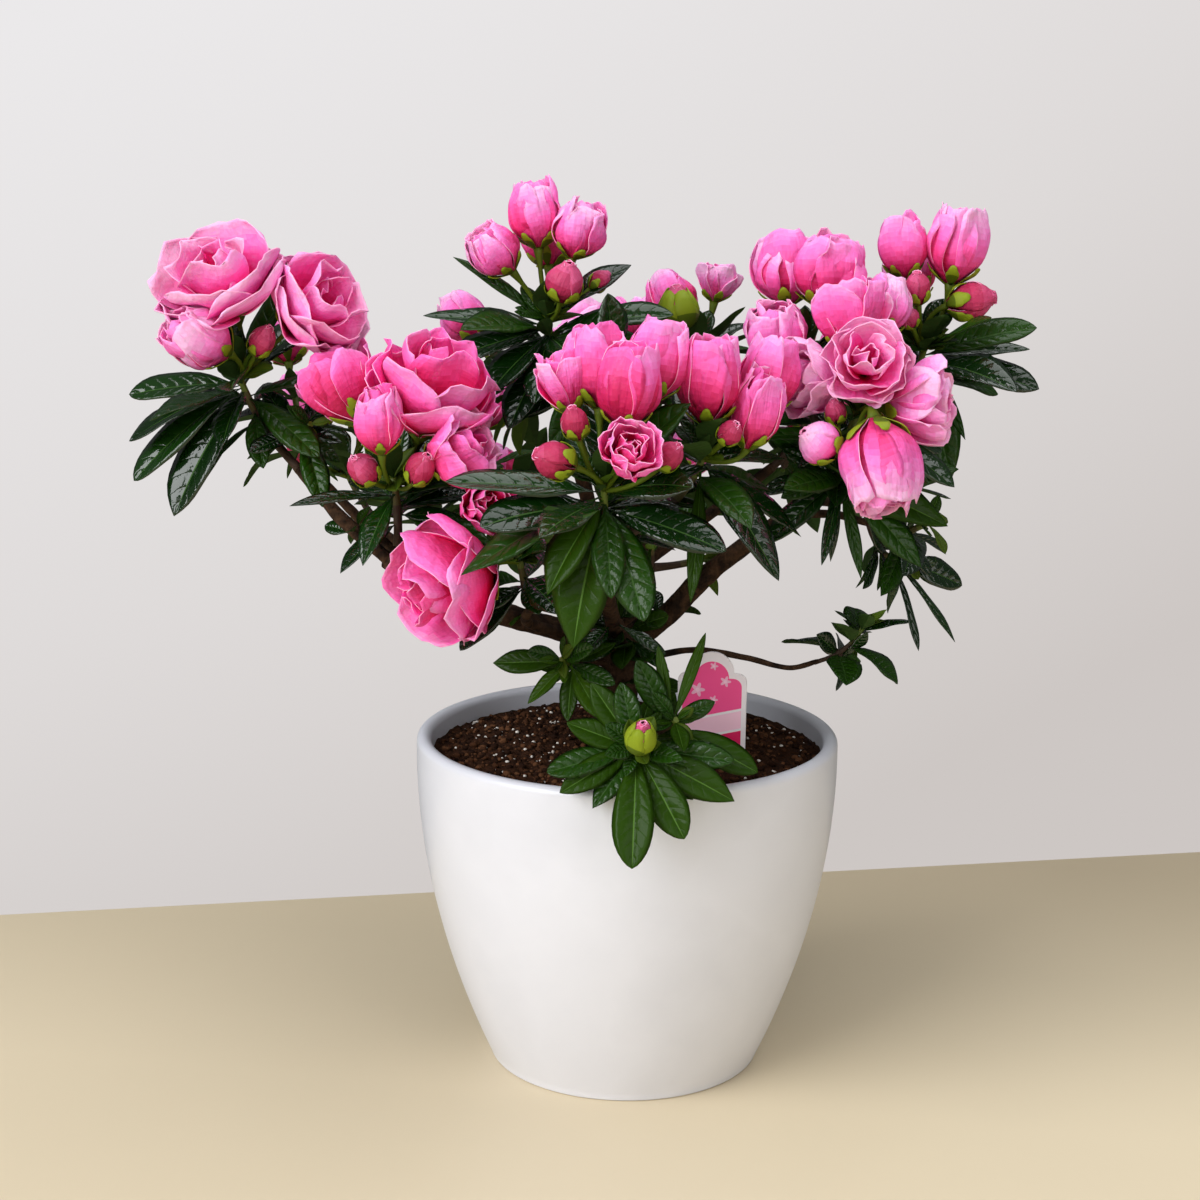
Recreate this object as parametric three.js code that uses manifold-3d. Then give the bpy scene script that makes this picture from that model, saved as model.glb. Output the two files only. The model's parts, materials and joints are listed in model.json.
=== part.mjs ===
// A potted azalea: a short trunk forks into wide boughs, with whorls of leaves and double blossom at their ends,
// in a round white pot. Millimetres, +Z up, -Y is the front, the origin is the centre of the flat underside.

import * as THREE from 'three';
import { mergeVertices } from 'three/addons/utils/BufferGeometryUtils.js';
import Module from 'manifold-3d';

const wasm = await Module();
wasm.setup();

const GAP = 0.3; // clear space between two pieces that touch
const SEAM = 0.05; // slivers narrower than this, left where leaves cross, are smoothed away
const DEG = Math.PI / 180;
const GOLDEN_ANGLE = 137.5; // degrees from each leaf of a whorl to the next

const pot = {
  height: 120, radius: 75.2, footRadius: 48.7, bellyHeight: 112, bellyPower: 1.93,
  wall: 5.2, floor: 6, footRound: 1.2, sides: 36,
};
const soil = { level: 115, edgeLevel: 112.5, flatRadius: 16, sides: 28 };
const label = {
  foot: [29, -20], buried: 14, width: 24, thickness: 1.2, domeRadius: 7.5, shoulder: 31, shoulderRound: 3,
  yaw: -8, lean: 3,
};

// Limbs in the order they grow: the limb each one leaves and how far along it (1 is its tip), its radii at its
// root and tip, and the points it passes.
const limbs = [
  { name: 'trunk', radius: [9, 7], flare: 3.5, flareShare: 0.3, sides: 9,
    path: [[-2, 0, 108], [-3.5, -1, 131], [-0.5, 0, 153]] },
  { name: 'bough_left', from: ['trunk', 0.85], radius: [5.6, 3.6],
    path: [[-22, -2, 156], [-52, -10, 167], [-83, -25, 186]] },
  { name: 'bough_left_high', from: ['bough_left', 0.97], radius: [3, 2.2],
    path: [[-99, -23, 201], [-114, -17, 217]] },
  { name: 'bough_left_twin', from: ['bough_left', 0.86], radius: [2.4, 1.8],
    path: [[-92, -10, 196], [-111, -2, 214]] },
  { name: 'bough_left_front', from: ['bough_left', 0.72], radius: [2.6, 2],
    path: [[-71, -27, 184], [-78, -33, 194]] },
  { name: 'bough_inner_left', from: ['bough_left', 0.3], radius: [2.6, 1.9],
    path: [[-35, -20, 164], [-33, -36, 173]] },
  { name: 'bough_right', from: ['trunk', 0.95], radius: [5, 3.8],
    path: [[12, -2, 161], [25, -5, 176], [42, -10, 191]] },
  { name: 'bough_right_front', from: ['bough_right', 0.98], radius: [2.8, 2.2],
    path: [[55, -18, 201], [62, -27, 207]] },
  { name: 'bough_right_high', from: ['bough_right', 0.9], radius: [3, 2.1],
    path: [[58, -4, 203], [84, 2, 226]] },
  { name: 'bough_right_low', from: ['bough_right_high', 0.4], radius: [1.9, 1.4],
    path: [[72, 0, 199], [84, 0, 196]] },
  { name: 'bough_front', from: ['trunk', 0.98], radius: [4, 2.8],
    path: [[-6, -22, 166], [-9, -52, 189]] },
  { name: 'bough_top', from: ['trunk', 1], radius: [4.4, 2.4],
    path: [[-8, 6, 178], [-16, 11, 206], [-24, 11, 238]] },
  { name: 'bough_back', from: ['trunk', 0.92], radius: [4.6, 3],
    path: [[4, 22, 165], [8, 50, 180], [6, 74, 196]] },
  { name: 'bough_back_high', from: ['bough_top', 0.35], radius: [2.9, 2],
    path: [[4, 24, 204], [17, 40, 226]] },
  { name: 'bough_back_left', from: ['bough_back', 0.3], radius: [3.4, 2.4],
    path: [[-26, 42, 172], [-48, 64, 180]] },
  { name: 'bough_back_right', from: ['bough_back', 0.55], radius: [3, 2.2],
    path: [[32, 66, 188], [56, 70, 206]] },
  { name: 'bough_side_right', from: ['bough_right_high', 0.55], radius: [2.2, 1.6],
    path: [[74, 22, 200], [82, 36, 200]] },
  { name: 'bough_side_left', from: ['bough_left', 0.5], radius: [2.5, 1.8],
    path: [[-72, 10, 178], [-88, 26, 186]] },
  { name: 'twig_inner', from: ['bough_front', 0.3], radius: [1.8, 1.4],
    path: [[4, -16, 168], [8, -12, 174]] },
  { name: 'twig_low_right', from: ['trunk', 0.8], radius: [1.7, 1.2],
    path: [[22, 3, 149], [42, 0, 147], [58, 0, 143.5], [68, 0, 146]] },
  { name: 'twig_low_front', from: ['trunk', 0.45], radius: [2.4, 1.7],
    path: [[0, -28, 138], [1, -50, 137]] },
  { name: 'twig_low_left', from: ['trunk', 0.7], radius: [1.8, 1.3],
    path: [[-9, -10, 147], [-14, -16, 149]] },
];

// A mass is one stem that grows on from its limb's tip, and the shoots that branch from it. A shoot has its
// tip, the way its whorl of leaves faces (bearing from +X towards +Y, lean from upright), how many leaves it has
// and how long they are. Its leading leaves are [clock about the axis, angle from the axis, length, droop]. Each
// bloom is [kind, bearing, lean, its centre's distance from the tip, width, length, bearing and lean it faces].
const masses = [
  { name: 'left_crown', limb: 'bough_left_high', shoots: [
    { tip: [-134, -10, 248], axis: [-120, 22], leaves: 14, length: 42,
      leading: [
        [178, 80, 40, 14], [192, 92, 44, 22], [200, 104, 50, 22], [222, 118, 50, 20], [262, 84, 32, 30],
        [12, 88, 42, 10], [345, 104, 38, 16], [312, 100, 40, 20],
      ],
      blooms: [
        ['open', -114, 17, 33, 41, 26, -120, 34], ['open', -12, 52, 37, 34, 27, -35, 58],
        ['fat', -125, 54, 22, 18, 23, 205, 60],
      ] },
    { tip: [-108, -22, 232], axis: [-60, 55], leaves: 5, length: 30,
      leading: [[250, 100, 30, 20]],
      blooms: [] },
  ] },
  { name: 'left_front', limb: 'bough_left_front', shoots: [
    { tip: [-79, -35, 216], axis: [-110, 20], leaves: 12, length: 38,
      leading: [
        [182, 84, 38, 18], [212, 104, 36, 24], [250, 96, 32, 30], [290, 100, 32, 22], [340, 92, 32, 16],
      ],
      blooms: [
        ['cup', 150, 35, 34, 24, 26, 150, 38], ['fat', -98, 39, 27, 14, 22, -98, 8],
        ['open', -4, 24, 33, 38, 34, -40, 22], ['cup', -25, 68, 26, 24, 22, -25, 62],
        ['bud', -121, 74, 17, 9, 14, -121, 50], ['bud', -55, 74, 19, 9, 14, -55, 45],
      ] },
  ] },
  { name: 'inner_left', limb: 'bough_inner_left', shoots: [
    { tip: [-37, -45, 192], axis: [-110, 20], leaves: 6, length: 32,
      leading: [],
      blooms: [['open', -150, 104, 27, 38, 34, -150, 104], ['cup', -172, 33, 20, 17, 19, -70, 72]] },
  ] },
  { name: 'top', limb: 'bough_top', shoots: [
    { tip: [-29, 10, 267], axis: [-95, 16], leaves: 15, length: 42,
      leading: [
        [181, 80, 44, 8], [200, 94, 42, 14], [262, 104, 36, 20], [232, 102, 40, 18], [300, 98, 36, 16],
        [352, 86, 34, 10], [262, 46, 20, 10],
      ],
      blooms: [
        ['fat', 180, 7, 35, 17, 23, 180, 4], ['fat', -25, 22, 32, 16, 20, -25, 16],
        ['fat', -164, 41, 29, 15, 18, -164, 42], ['bud', -67, 52, 20, 12, 15, -67, 30],
        ['fat', 91, 37, 31, 16, 20, 91, 30],
      ] },
    { tip: [-46, 26, 243], axis: [150, 50], leaves: 9, length: 36,
      leading: [],
      blooms: [['fat', 140, 42, 27, 15, 20, 140, 40]] },
    { tip: [-6, -2, 246], axis: [-50, 50], leaves: 9, length: 36,
      leading: [],
      blooms: [] },
  ] },
  { name: 'back_high', limb: 'bough_back_high', shoots: [
    { tip: [24, 48, 251], axis: [60, 12], leaves: 14, length: 36,
      leading: [[178, 84, 36, 10], [235, 92, 34, 12]],
      blooms: [
        ['cup', 55, 31, 29, 15, 14, 40, 12], ['bud', -129, 32, 20, 14, 17, -120, 10],
        ['fat', 110, 52, 29, 17, 22, 110, 48],
      ] },
    { tip: [6, 62, 238], axis: [130, 45], leaves: 8, length: 34,
      leading: [],
      blooms: [['fat', 125, 40, 26, 16, 22, 125, 38]] },
  ] },
  { name: 'front', limb: 'bough_front', shoots: [
    { tip: [-9, -75, 221], axis: [-90, 16], leaves: 12, length: 40,
      leading: [
        [180, 82, 50, 8], [204, 104, 52, 14], [228, 122, 36, 22], [246, 140, 48, 22], [275, 112, 34, 30],
        [292, 116, 42, 22], [314, 104, 44, 20], [336, 92, 42, 14], [160, 88, 40, 10],
      ],
      blooms: [
        ['fat', -47, 18, 32, 17, 26, -50, 6], ['fat', 107, 12, 36, 18, 25, 107, 6],
        ['fat', 28, 27, 42, 17, 25, 30, 10], ['cup', -70, 61, 25, 17, 16, -80, 62],
        ['bud', -140, 67, 22, 11, 14, -165, 70], ['cup', 160, 24, 33, 15, 20, 170, 14],
      ] },
    { tip: [23, -60, 229], axis: [-45, 20], leaves: 9, length: 38,
      leading: [[322, 112, 46, 18], [280, 130, 46, 18], [0, 104, 42, 16], [35, 98, 36, 14]],
      blooms: [
        ['fat', -81, 11, 23, 18, 27, -80, 4], ['fat', 26, 45, 33, 17, 25, 40, 14],
        ['fat', -8, 50, 21, 15, 25, 0, 14],
      ] },
  ] },
  { name: 'right_front', limb: 'bough_right_front', shoots: [
    { tip: [75, -32, 240], axis: [-40, 20], leaves: 9, length: 38,
      leading: [[340, 96, 40, 16], [20, 92, 38, 14]],
      blooms: [
        ['cup', 111, 15, 30, 23, 25, 111, 10], ['fat', 61, 32, 38, 16, 20, 61, 20],
        ['open', -92, 49, 26, 25, 20, -92, 62], ['cup', -38, 81, 22, 24, 24, -15, 84],
        ['cup', -158, 62, 20, 22, 22, -150, 78],
      ] },
    { tip: [70, -42, 219], axis: [-80, 50], leaves: 11, length: 38,
      leading: [
        [12, 84, 42, 16], [345, 92, 40, 18], [320, 98, 40, 18], [285, 100, 34, 18], [262, 106, 36, 20],
        [222, 100, 34, 16], [190, 92, 30, 14],
      ],
      blooms: [['fat', -70, 75, 25, 22, 30, -75, 155], ['bud', -123, 57, 24, 13, 14, -150, 60]] },
    { tip: [58, -6, 256], axis: [120, 15], leaves: 10, length: 34,
      leading: [[165, 92, 34, 16]],
      blooms: [
        ['fat', 139, 16, 29, 20, 24, 139, 8], ['fat', -21, 18, 29, 23, 24, -21, 10],
        ['fat', -124, 66, 20, 19, 21, -110, 24],
      ] },
  ] },
  { name: 'right_high', limb: 'bough_right_high', shoots: [
    { tip: [102, 5, 258], axis: [-70, 20], leaves: 14, length: 40,
      leading: [
        [4, 76, 38, 10], [348, 88, 42, 12], [332, 96, 36, 16], [296, 104, 36, 18], [310, 140, 42, 8],
        [30, 88, 36, 12],
      ],
      blooms: [
        ['fat', 180, 15, 35, 15, 22, 180, 6], ['fat', 0, 15, 36, 19, 27, 0, 6],
        ['bud', -20, 45, 22, 12, 17, -5, 78], ['fat', 100, 37, 31, 16, 22, 100, 32],
      ] },
  ] },
  { name: 'right_low', limb: 'bough_right_low', shoots: [
    { tip: [97, 0, 183], axis: [-20, 80], leaves: 9, length: 32,
      leading: [
        [280, 60, 38, 10], [255, 74, 34, 10], [300, 100, 28, 10], [30, 84, 30, 12], [150, 100, 26, 10],
      ],
      blooms: [] },
    { tip: [104, -8, 198], axis: [-30, 60], leaves: 7, length: 32,
      leading: [],
      blooms: [] },
  ] },
  { name: 'low_right', limb: 'twig_low_right', shoots: [
    { tip: [83, 0, 158], axis: [20, 30], leaves: 6, length: 24,
      leading: [[190, 60, 20, 10]],
      blooms: [] },
    { tip: [77, 2, 146], axis: [-20, 90], leaves: 4, length: 17,
      leading: [],
      blooms: [] },
  ] },
  { name: 'low_front', limb: 'twig_low_front', shoots: [
    { tip: [2, -78, 136], axis: [-90, 62], leaves: 5, length: 25,
      leading: [
        [268, 70, 40, 26], [297, 70, 34, 24], [331, 76, 36, 18], [352, 76, 32, 12], [125, 80, 26, 8],
        [160, 82, 24, 10], [196, 80, 30, 16], [212, 76, 29, 20], [236, 72, 25, 24], [316, 72, 26, 20],
      ],
      blooms: [['bud', -84, 58, 12, 9, 14, -80, 36]] },
    { tip: [15, -66, 142], axis: [-80, 60], leaves: 3, length: 20,
      leading: [[71, 76, 32, 8], [102, 74, 26, 8], [122, 70, 24, 4], [332, 76, 33, 14], [28, 74, 18, 8]],
      blooms: [] },
  ] },
  { name: 'inner_low', limb: 'twig_inner', shoots: [
    { tip: [7, -20, 193], axis: [-95, 50], leaves: 9, length: 27,
      leading: [],
      blooms: [] },
    { tip: [24, -4, 183], axis: [-40, 70], leaves: 7, length: 24,
      leading: [],
      blooms: [] },
  ] },
  { name: 'low_left', limb: 'twig_low_left', shoots: [
    { tip: [-23, -33, 154], axis: [-115, 62], leaves: 4, length: 22,
      leading: [
        [176, 82, 27, 10], [120, 84, 20, 8], [222, 84, 20, 12], [300, 84, 25, 12], [330, 80, 20, 10],
      ],
      blooms: [] },
  ] },
  { name: 'back', limb: 'bough_back', shoots: [
    { tip: [2, 102, 224], axis: [90, 20], leaves: 11, length: 38,
      leading: [],
      blooms: [
        ['fat', 60, 20, 32, 18, 25, 60, 12], ['open', 130, 48, 34, 34, 28, 120, 50],
        ['fat', 0, 48, 30, 16, 22, 0, 45], ['bud', 90, 75, 22, 9, 14, 90, 60],
      ] },
    { tip: [12, 106, 192], axis: [80, 75], leaves: 8, length: 36,
      leading: [],
      blooms: [['cup', 70, 75, 27, 22, 24, 70, 75]] },
  ] },
  { name: 'back_left', limb: 'bough_back_left', shoots: [
    { tip: [-64, 84, 204], axis: [130, 22], leaves: 11, length: 36,
      leading: [],
      blooms: [
        ['open', 125, 44, 31, 36, 28, 125, 46], ['fat', 40, 34, 28, 16, 22, 40, 28],
        ['fat', -160, 44, 24, 15, 20, -160, 40], ['bud', 170, 70, 20, 9, 14, 170, 60],
      ] },
    { tip: [-46, 94, 186], axis: [110, 70], leaves: 9, length: 34,
      leading: [],
      blooms: [['fat', 105, 66, 26, 17, 24, 105, 64]] },
  ] },
  { name: 'back_right', limb: 'bough_back_right', shoots: [
    { tip: [72, 82, 231], axis: [50, 20], leaves: 11, length: 36,
      leading: [],
      blooms: [
        ['fat', 150, 24, 27, 16, 22, 150, 18], ['cup', 40, 42, 31, 24, 26, 40, 42],
        ['fat', -60, 40, 26, 15, 20, -60, 34],
      ] },
    { tip: [64, 98, 204], axis: [70, 70], leaves: 8, length: 34,
      leading: [],
      blooms: [['fat', 60, 64, 26, 17, 23, 60, 60]] },
  ] },
  { name: 'side_right', limb: 'bough_side_right', shoots: [
    { tip: [94, 55, 210], axis: [50, 35], leaves: 10, length: 34,
      leading: [],
      blooms: [
        ['cup', 55, 50, 29, 24, 25, 55, 48], ['fat', 120, 30, 26, 16, 22, 120, 24],
        ['bud', -30, 62, 18, 9, 14, -30, 50],
      ] },
  ] },
  { name: 'side_left', limb: 'bough_side_left', shoots: [
    { tip: [-105, 44, 207], axis: [150, 30], leaves: 11, length: 36,
      leading: [],
      blooms: [
        ['fat', 160, 36, 28, 17, 24, 160, 32], ['fat', 60, 36, 26, 16, 22, 60, 30],
        ['bud', -150, 66, 19, 9, 13, -150, 55],
      ] },
  ] },
  { name: 'left_inner', limb: 'bough_left_twin', shoots: [
    { tip: [-119, 16, 238], axis: [110, 30], leaves: 7, length: 32,
      leading: [],
      blooms: [['fat', 110, 40, 25, 16, 22, 110, 36]] },
  ] },
];

const stemShape = { rootRadius: 1.7, tipRadius: 1.1, branchAt: 0.35, steps: 3, stalk: 0.9, stalkDepth: 3 };
const leafShape = {
  widthShare: 0.34, stations: [0.36, 0.7], stationWidths: [0.84, 0.92],
  keel: 1.1, keelAt: 0.5, fold: 0.07, // the keel lies below the midrib, the edges rise by the fold
};
const whorl = {
  steepest: 42, flattest: 104, depth: [2, 13], droop: [10, 34], unevenness: 12, tries: 3, nextTry: 47,
  potGap: 1.6,
};
const cell = 2.2; // side of the cells of space that each mass keeps to itself

// ---- numbers, directions and curves -------------------------------------------------------------

const add = (a, b) => a.map((v, i) => v + b[i]);
const subtract = (a, b) => a.map((v, i) => v - b[i]);
const times = (a, k) => a.map((v) => v * k);
const along = (a, direction, distance) => add(a, times(direction, distance));
const dot = (a, b) => a[0] * b[0] + a[1] * b[1] + a[2] * b[2];
const cross = (a, b) => [a[1] * b[2] - a[2] * b[1], a[2] * b[0] - a[0] * b[2], a[0] * b[1] - a[1] * b[0]];
const size = (a) => Math.sqrt(dot(a, a));
const unit = (a) => times(a, 1 / size(a));

// The same run of numbers from 0 to 1 for the same seed.
function seeded(seed) {
  let state = seed;
  return () => {
    state = (state * 1664525 + 1013904223) % 4294967296;
    return state / 4294967296;
  };
}

function aim(bearing, lean) {
  const [b, l] = [bearing * DEG, lean * DEG];
  return [Math.sin(l) * Math.cos(b), Math.sin(l) * Math.sin(b), Math.cos(l)];
}

// Two directions square to an axis: clock angles run from the first, nearest +X, to the second.
function dial(axis) {
  const x = Math.abs(axis[0]) > 0.9 ? [0, 1, 0] : [1, 0, 0];
  const right = unit(subtract(x, times(axis, dot(x, axis))));
  return [right, cross(axis, right)];
}

// A shoot's stem curves from where it starts to its tip, and reaches the tip along the shoot's axis.
function stemPoint(start, tip, axis, t) {
  const bend = along(tip, axis, -0.5 * size(subtract(tip, start)));
  const [a, b, c] = [(1 - t) * (1 - t), 2 * t * (1 - t), t * t];
  return add(add(times(start, a), times(bend, b)), times(tip, c));
}

// The point of a shoot's stem that lies `depth` below its tip.
function stemAt(shoot, depth) {
  const t = Math.max(0.1, 1 - depth / size(subtract(shoot.tip, shoot.start)));
  return stemPoint(shoot.start, shoot.tip, shoot.facing, t);
}

function limbCurve(limb, byName) {
  const path = limb.path.map((p) => new THREE.Vector3(...p));
  if (limb.from) {
    const [parent, share] = limb.from;
    path.unshift(byName.get(parent).curve.getPoint(share));
  }
  return new THREE.CatmullRomCurve3(path, false, 'centripetal');
}

// ---- solids -------------------------------------------------------------------------------------

function toSolid(geometry) {
  const bare = geometry.clone();
  for (const name of Object.keys(bare.attributes)) if (name !== 'position') bare.deleteAttribute(name);
  const merged = mergeVertices(bare, 1e-4);
  return new wasm.Manifold(new wasm.Mesh({
    numProp: 3,
    vertProperties: new Float32Array(merged.attributes.position.array),
    triVerts: new Uint32Array(merged.index.array),
  }));
}

function toGeometry(solid) {
  const mesh = solid.getMesh();
  const geometry = new THREE.BufferGeometry();
  geometry.setAttribute('position', new THREE.BufferAttribute(mesh.vertProperties, 3));
  geometry.setIndex(new THREE.BufferAttribute(mesh.triVerts, 1));
  geometry.computeVertexNormals();
  return geometry;
}

function fuse(solids) {
  let whole = solids[0];
  for (const solid of solids.slice(1)) whole = whole.add(solid);
  return whole;
}

// The largest single body: loose scraps go, and a sealed hollow is filled.
const largest = (solid) => solid.decompose().sort((a, b) => b.volume() - a.volume())[0];

// A closed skin over rings of equal count, each turning the same way, with a point at either end.
function skin(first, rings, last) {
  const count = rings[0].length;
  const points = [first, ...rings.flat(), last];
  const faces = [];
  const at = (ring, i) => 1 + ring * count + (i % count);
  for (let i = 0; i < count; i += 1) {
    faces.push(0, at(0, i + 1), at(0, i));
    for (let r = 0; r + 1 < rings.length; r += 1) {
      faces.push(at(r, i), at(r, i + 1), at(r + 1, i + 1), at(r, i), at(r + 1, i + 1), at(r + 1, i));
    }
    faces.push(points.length - 1, at(rings.length - 1, i), at(rings.length - 1, i + 1));
  }
  const geometry = new THREE.BufferGeometry();
  geometry.setAttribute('position', new THREE.Float32BufferAttribute(points.flat(), 3));
  geometry.setIndex(faces);
  return geometry;
}

// A round ring of points about a centre, counter-clockwise when seen from the way the axis points.
function ring(centre, axis, radius, sides, right = dial(axis)[0]) {
  const up = cross(axis, right);
  return Array.from({ length: sides }, (_, i) => {
    const turn = (2 * Math.PI * i) / sides;
    return along(along(centre, right, radius(turn) * Math.cos(turn)), up, radius(turn) * Math.sin(turn));
  });
}

// A tapering rod through points: `grow` thickens it all over.
function rod(points, radii, sides, grow = 0) {
  const last = points.length - 1;
  const direction = (i) => unit(subtract(points[Math.min(i + 1, last)], points[Math.max(i - 1, 0)]));
  const skew = grow / Math.cos(Math.PI / sides);
  let [right] = dial(direction(0));
  const rings = points.map((p, i) => {
    right = unit(subtract(right, times(direction(i), dot(right, direction(i))))); // the rings don't twist
    const end = i === 0 ? -grow : i === last ? grow : 0;
    return ring(along(p, direction(i), end), direction(i), () => radii[i] + skew, sides, right);
  });
  const first = along(points[0], direction(0), -grow);
  return skin(first, rings, along(points[last], direction(last), grow + 0.3 * radii[last]));
}

function limbSolid(limb, grow) {
  const steps = Math.max(4, Math.round(limb.curve.getLength() / 11));
  const sides = limb.sides ?? (limb.radius[0] > 3.5 ? 7 : 5);
  const shares = Array.from({ length: steps + 1 }, (_, i) => i / steps);
  const points = shares.map((t) => limb.curve.getPoint(t).toArray());
  const radii = shares.map((t) => limbRadius(limb, t));
  return toSolid(rod(points, radii, sides, grow));
}

function limbRadius(limb, t) {
  const [root, tip] = limb.radius;
  const flare = limb.flare ? limb.flare * Math.max(0, 1 - t / limb.flareShare) ** 2 : 0;
  return root + (tip - root) * t + flare;
}

// ---- leaves and blossom -------------------------------------------------------------------------

// A leaf leaves `base` at an angle from the shoot's axis, its upper face towards the axis, and curves away.
function leafFrame(base, axis, clock, angle) {
  const [right, up] = dial(axis);
  const outward = along(times(right, Math.cos(clock * DEG)), up, Math.sin(clock * DEG));
  const [c, s] = [Math.cos(angle * DEG), Math.sin(angle * DEG)];
  return { base, forward: along(times(axis, c), outward, s), face: along(times(axis, s), outward, -c) };
}

function leafPoint(leaf, t, across, lift) {
  const bend = leaf.droop * DEG;
  const [run, fall] = [Math.sin(bend * t) / bend, (1 - Math.cos(bend * t)) / bend];
  const face = along(times(leaf.face, Math.cos(bend * t)), leaf.forward, Math.sin(bend * t));
  const side = cross(leaf.forward, leaf.face);
  const spine = along(along(leaf.base, leaf.forward, leaf.length * run), leaf.face, -leaf.length * fall);
  return along(along(spine, side, across), face, lift);
}

// A flat-topped blade with six corners, drawn down to one keel point underneath.
function leafSolid(leaf) {
  const width = leafShape.widthShare * leaf.length;
  const edge = (side) => leafShape.stations.map((t, i) => (
    leafPoint(leaf, t, side * (width / 2) * leafShape.stationWidths[i], leafShape.fold * width)));
  const [right, left] = [edge(1), edge(-1)];
  const outline = [leafPoint(leaf, 0, 0, 0), ...right, leafPoint(leaf, 1, 0, 0), ...left.reverse()];
  const keel = outline.length;
  const faces = [0, 1, 5, 1, 4, 5, 1, 2, 4, 2, 3, 4];
  for (let i = 0; i < keel; i += 1) faces.push((i + 1) % keel, i, keel);
  const geometry = new THREE.BufferGeometry();
  const points = [...outline, leafPoint(leaf, leafShape.keelAt, 0, -leafShape.keel)];
  geometry.setAttribute('position', new THREE.Float32BufferAttribute(points.flat(), 3));
  geometry.setIndex(faces);
  return toSolid(geometry);
}

// Share of the full width and of the length at each ring of a bloom, and how deep its petals' lobes are.
const bloomKinds = {
  bud: { rings: [[0.36, 0.08], [0.94, 0.36], [0.9, 0.7]], crown: 1, lobes: 0, sides: 6 },
  fat: { rings: [[0.3, 0.06], [0.9, 0.3], [1, 0.62], [0.62, 0.95]], crown: 0.98, lobes: 0, sides: 6 },
  cup: { rings: [[0.22, 0.05], [0.7, 0.34], [1, 0.8], [0.66, 0.98]], crown: 0.94, lobes: 0, sides: 7 },
  open: { rings: [[0.18, 0.04], [0.6, 0.32], [1, 0.7], [0.74, 0.93]], crown: 0.98, lobes: 0.1, sides: 10 },
};

function bloomRings(bloom) {
  const kind = bloomKinds[bloom.kind];
  const lobe = (turn) => 1 + kind.lobes * Math.cos(5 * turn); // five petals spread the open blooms
  return kind.rings.map(([wide, high]) => ring(
    along(bloom.foot, bloom.facing, high * bloom.length),
    bloom.facing,
    (turn) => (bloom.width / 2) * wide * lobe(turn),
    kind.sides,
  ));
}

function bloomSolid(bloom, neck) {
  const crown = bloomKinds[bloom.kind].crown * bloom.length;
  return toSolid(skin(neck, bloomRings(bloom), along(bloom.foot, bloom.facing, crown)));
}

// ---- the space that each mass keeps to itself ---------------------------------------------------

const owners = new Map(); // cell of space to the limb or mass that has it
const bloomCells = new Set(); // no leaf's outer part crosses these
const leafCells = new Set(); // nor these, but a leading leaf may

const cellOf = (p) => p.map((v) => Math.floor(v / cell));
const cellKey = ([i, j, k]) => (i + 512) + 1024 * (j + 512) + 1048576 * (k + 512);

function claim(points, owner) {
  for (const p of points) owners.set(cellKey(cellOf(p)), owner);
}

// True where no other owner has the point's cell or one beside it.
function isFree(points, owner) {
  return points.every((p) => {
    const [i, j, k] = cellOf(p);
    for (let a = -1; a <= 1; a += 1) {
      for (let b = -1; b <= 1; b += 1) {
        for (let c = -1; c <= 1; c += 1) {
          const found = owners.get(cellKey([i + a, j + b, k + c]));
          if (found !== undefined && found !== owner) return false;
        }
      }
    }
    return true;
  });
}

function take(points, cells) {
  for (const p of points) cells.add(cellKey(cellOf(p)));
}

const crosses = (points, cells) => points.some((p) => cells.has(cellKey(cellOf(p))));

// True inside the pot, and within a small distance of its wall, lip and soil.
function isInPot([x, y, z]) {
  return z < pot.height + whorl.potGap && Math.hypot(x, y) < potRadius(z) + whorl.potGap;
}

function leafSamples(leaf, from) {
  const steps = Math.ceil(leaf.length / 1.8);
  const half = (leafShape.widthShare * leaf.length) / 2;
  const points = [];
  for (let i = 0; i <= steps; i += 1) {
    const t = i / steps;
    if (t < from) continue;
    const wide = half * Math.min(1, 3 * t, 3.2 * (1 - t));
    for (const share of [-1, -0.67, -0.33, 0, 0.33, 0.67, 1]) {
      points.push(leafPoint(leaf, t, share * wide, 0));
    }
  }
  return points;
}

function bloomSamples(bloom) {
  const points = [];
  const kind = bloomKinds[bloom.kind];
  for (let high = 0; high <= 1; high += 0.1) {
    const next = kind.rings.findIndex((r) => r[1] >= high);
    const [wide] = next < 0 ? kind.rings.at(-1) : kind.rings[next];
    for (const share of [0.5, 1]) {
      const centre = along(bloom.foot, bloom.facing, high * bloom.length);
      points.push(...ring(centre, bloom.facing, () => share * wide * bloom.width * 0.5, 12));
    }
  }
  return points;
}

// ---- limbs --------------------------------------------------------------------------------------

const azalea = new THREE.Group();

function addMesh(name, geometry, { color, roughness }) {
  const mesh = new THREE.Mesh(geometry, new THREE.MeshStandardMaterial({ color, roughness, metalness: 0 }));
  mesh.name = name;
  azalea.add(mesh);
}

const bark = { color: 0x3b2a20, roughness: 0.85 };
const foliage = { color: 0x1c3c20, roughness: 0.35 };
const byName = new Map();
// Cuts the trunk flat where it meets the soil.
const underSoil = toSolid(new THREE.BoxGeometry(60, 60, 40).translate(0, 0, soil.level + GAP - 20));

for (const limb of limbs) {
  limb.curve = limbCurve(limb, byName);
  let solid = limbSolid(limb, 0).subtract(underSoil);
  for (const earlier of byName.values()) solid = solid.subtract(earlier.grown);
  limb.grown = limbSolid(limb, GAP);
  byName.set(limb.name, limb);
  addMesh(limb.name, toGeometry(largest(solid)), bark);
  const steps = Math.ceil(limb.curve.getLength() / 2);
  for (let i = 0; i <= steps; i += 1) {
    const centre = limb.curve.getPoint(i / steps).toArray();
    const direction = limb.curve.getTangent(i / steps).toArray();
    claim([centre, ...ring(centre, direction, () => limbRadius(limb, i / steps), 8)], 0);
  }
}

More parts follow.
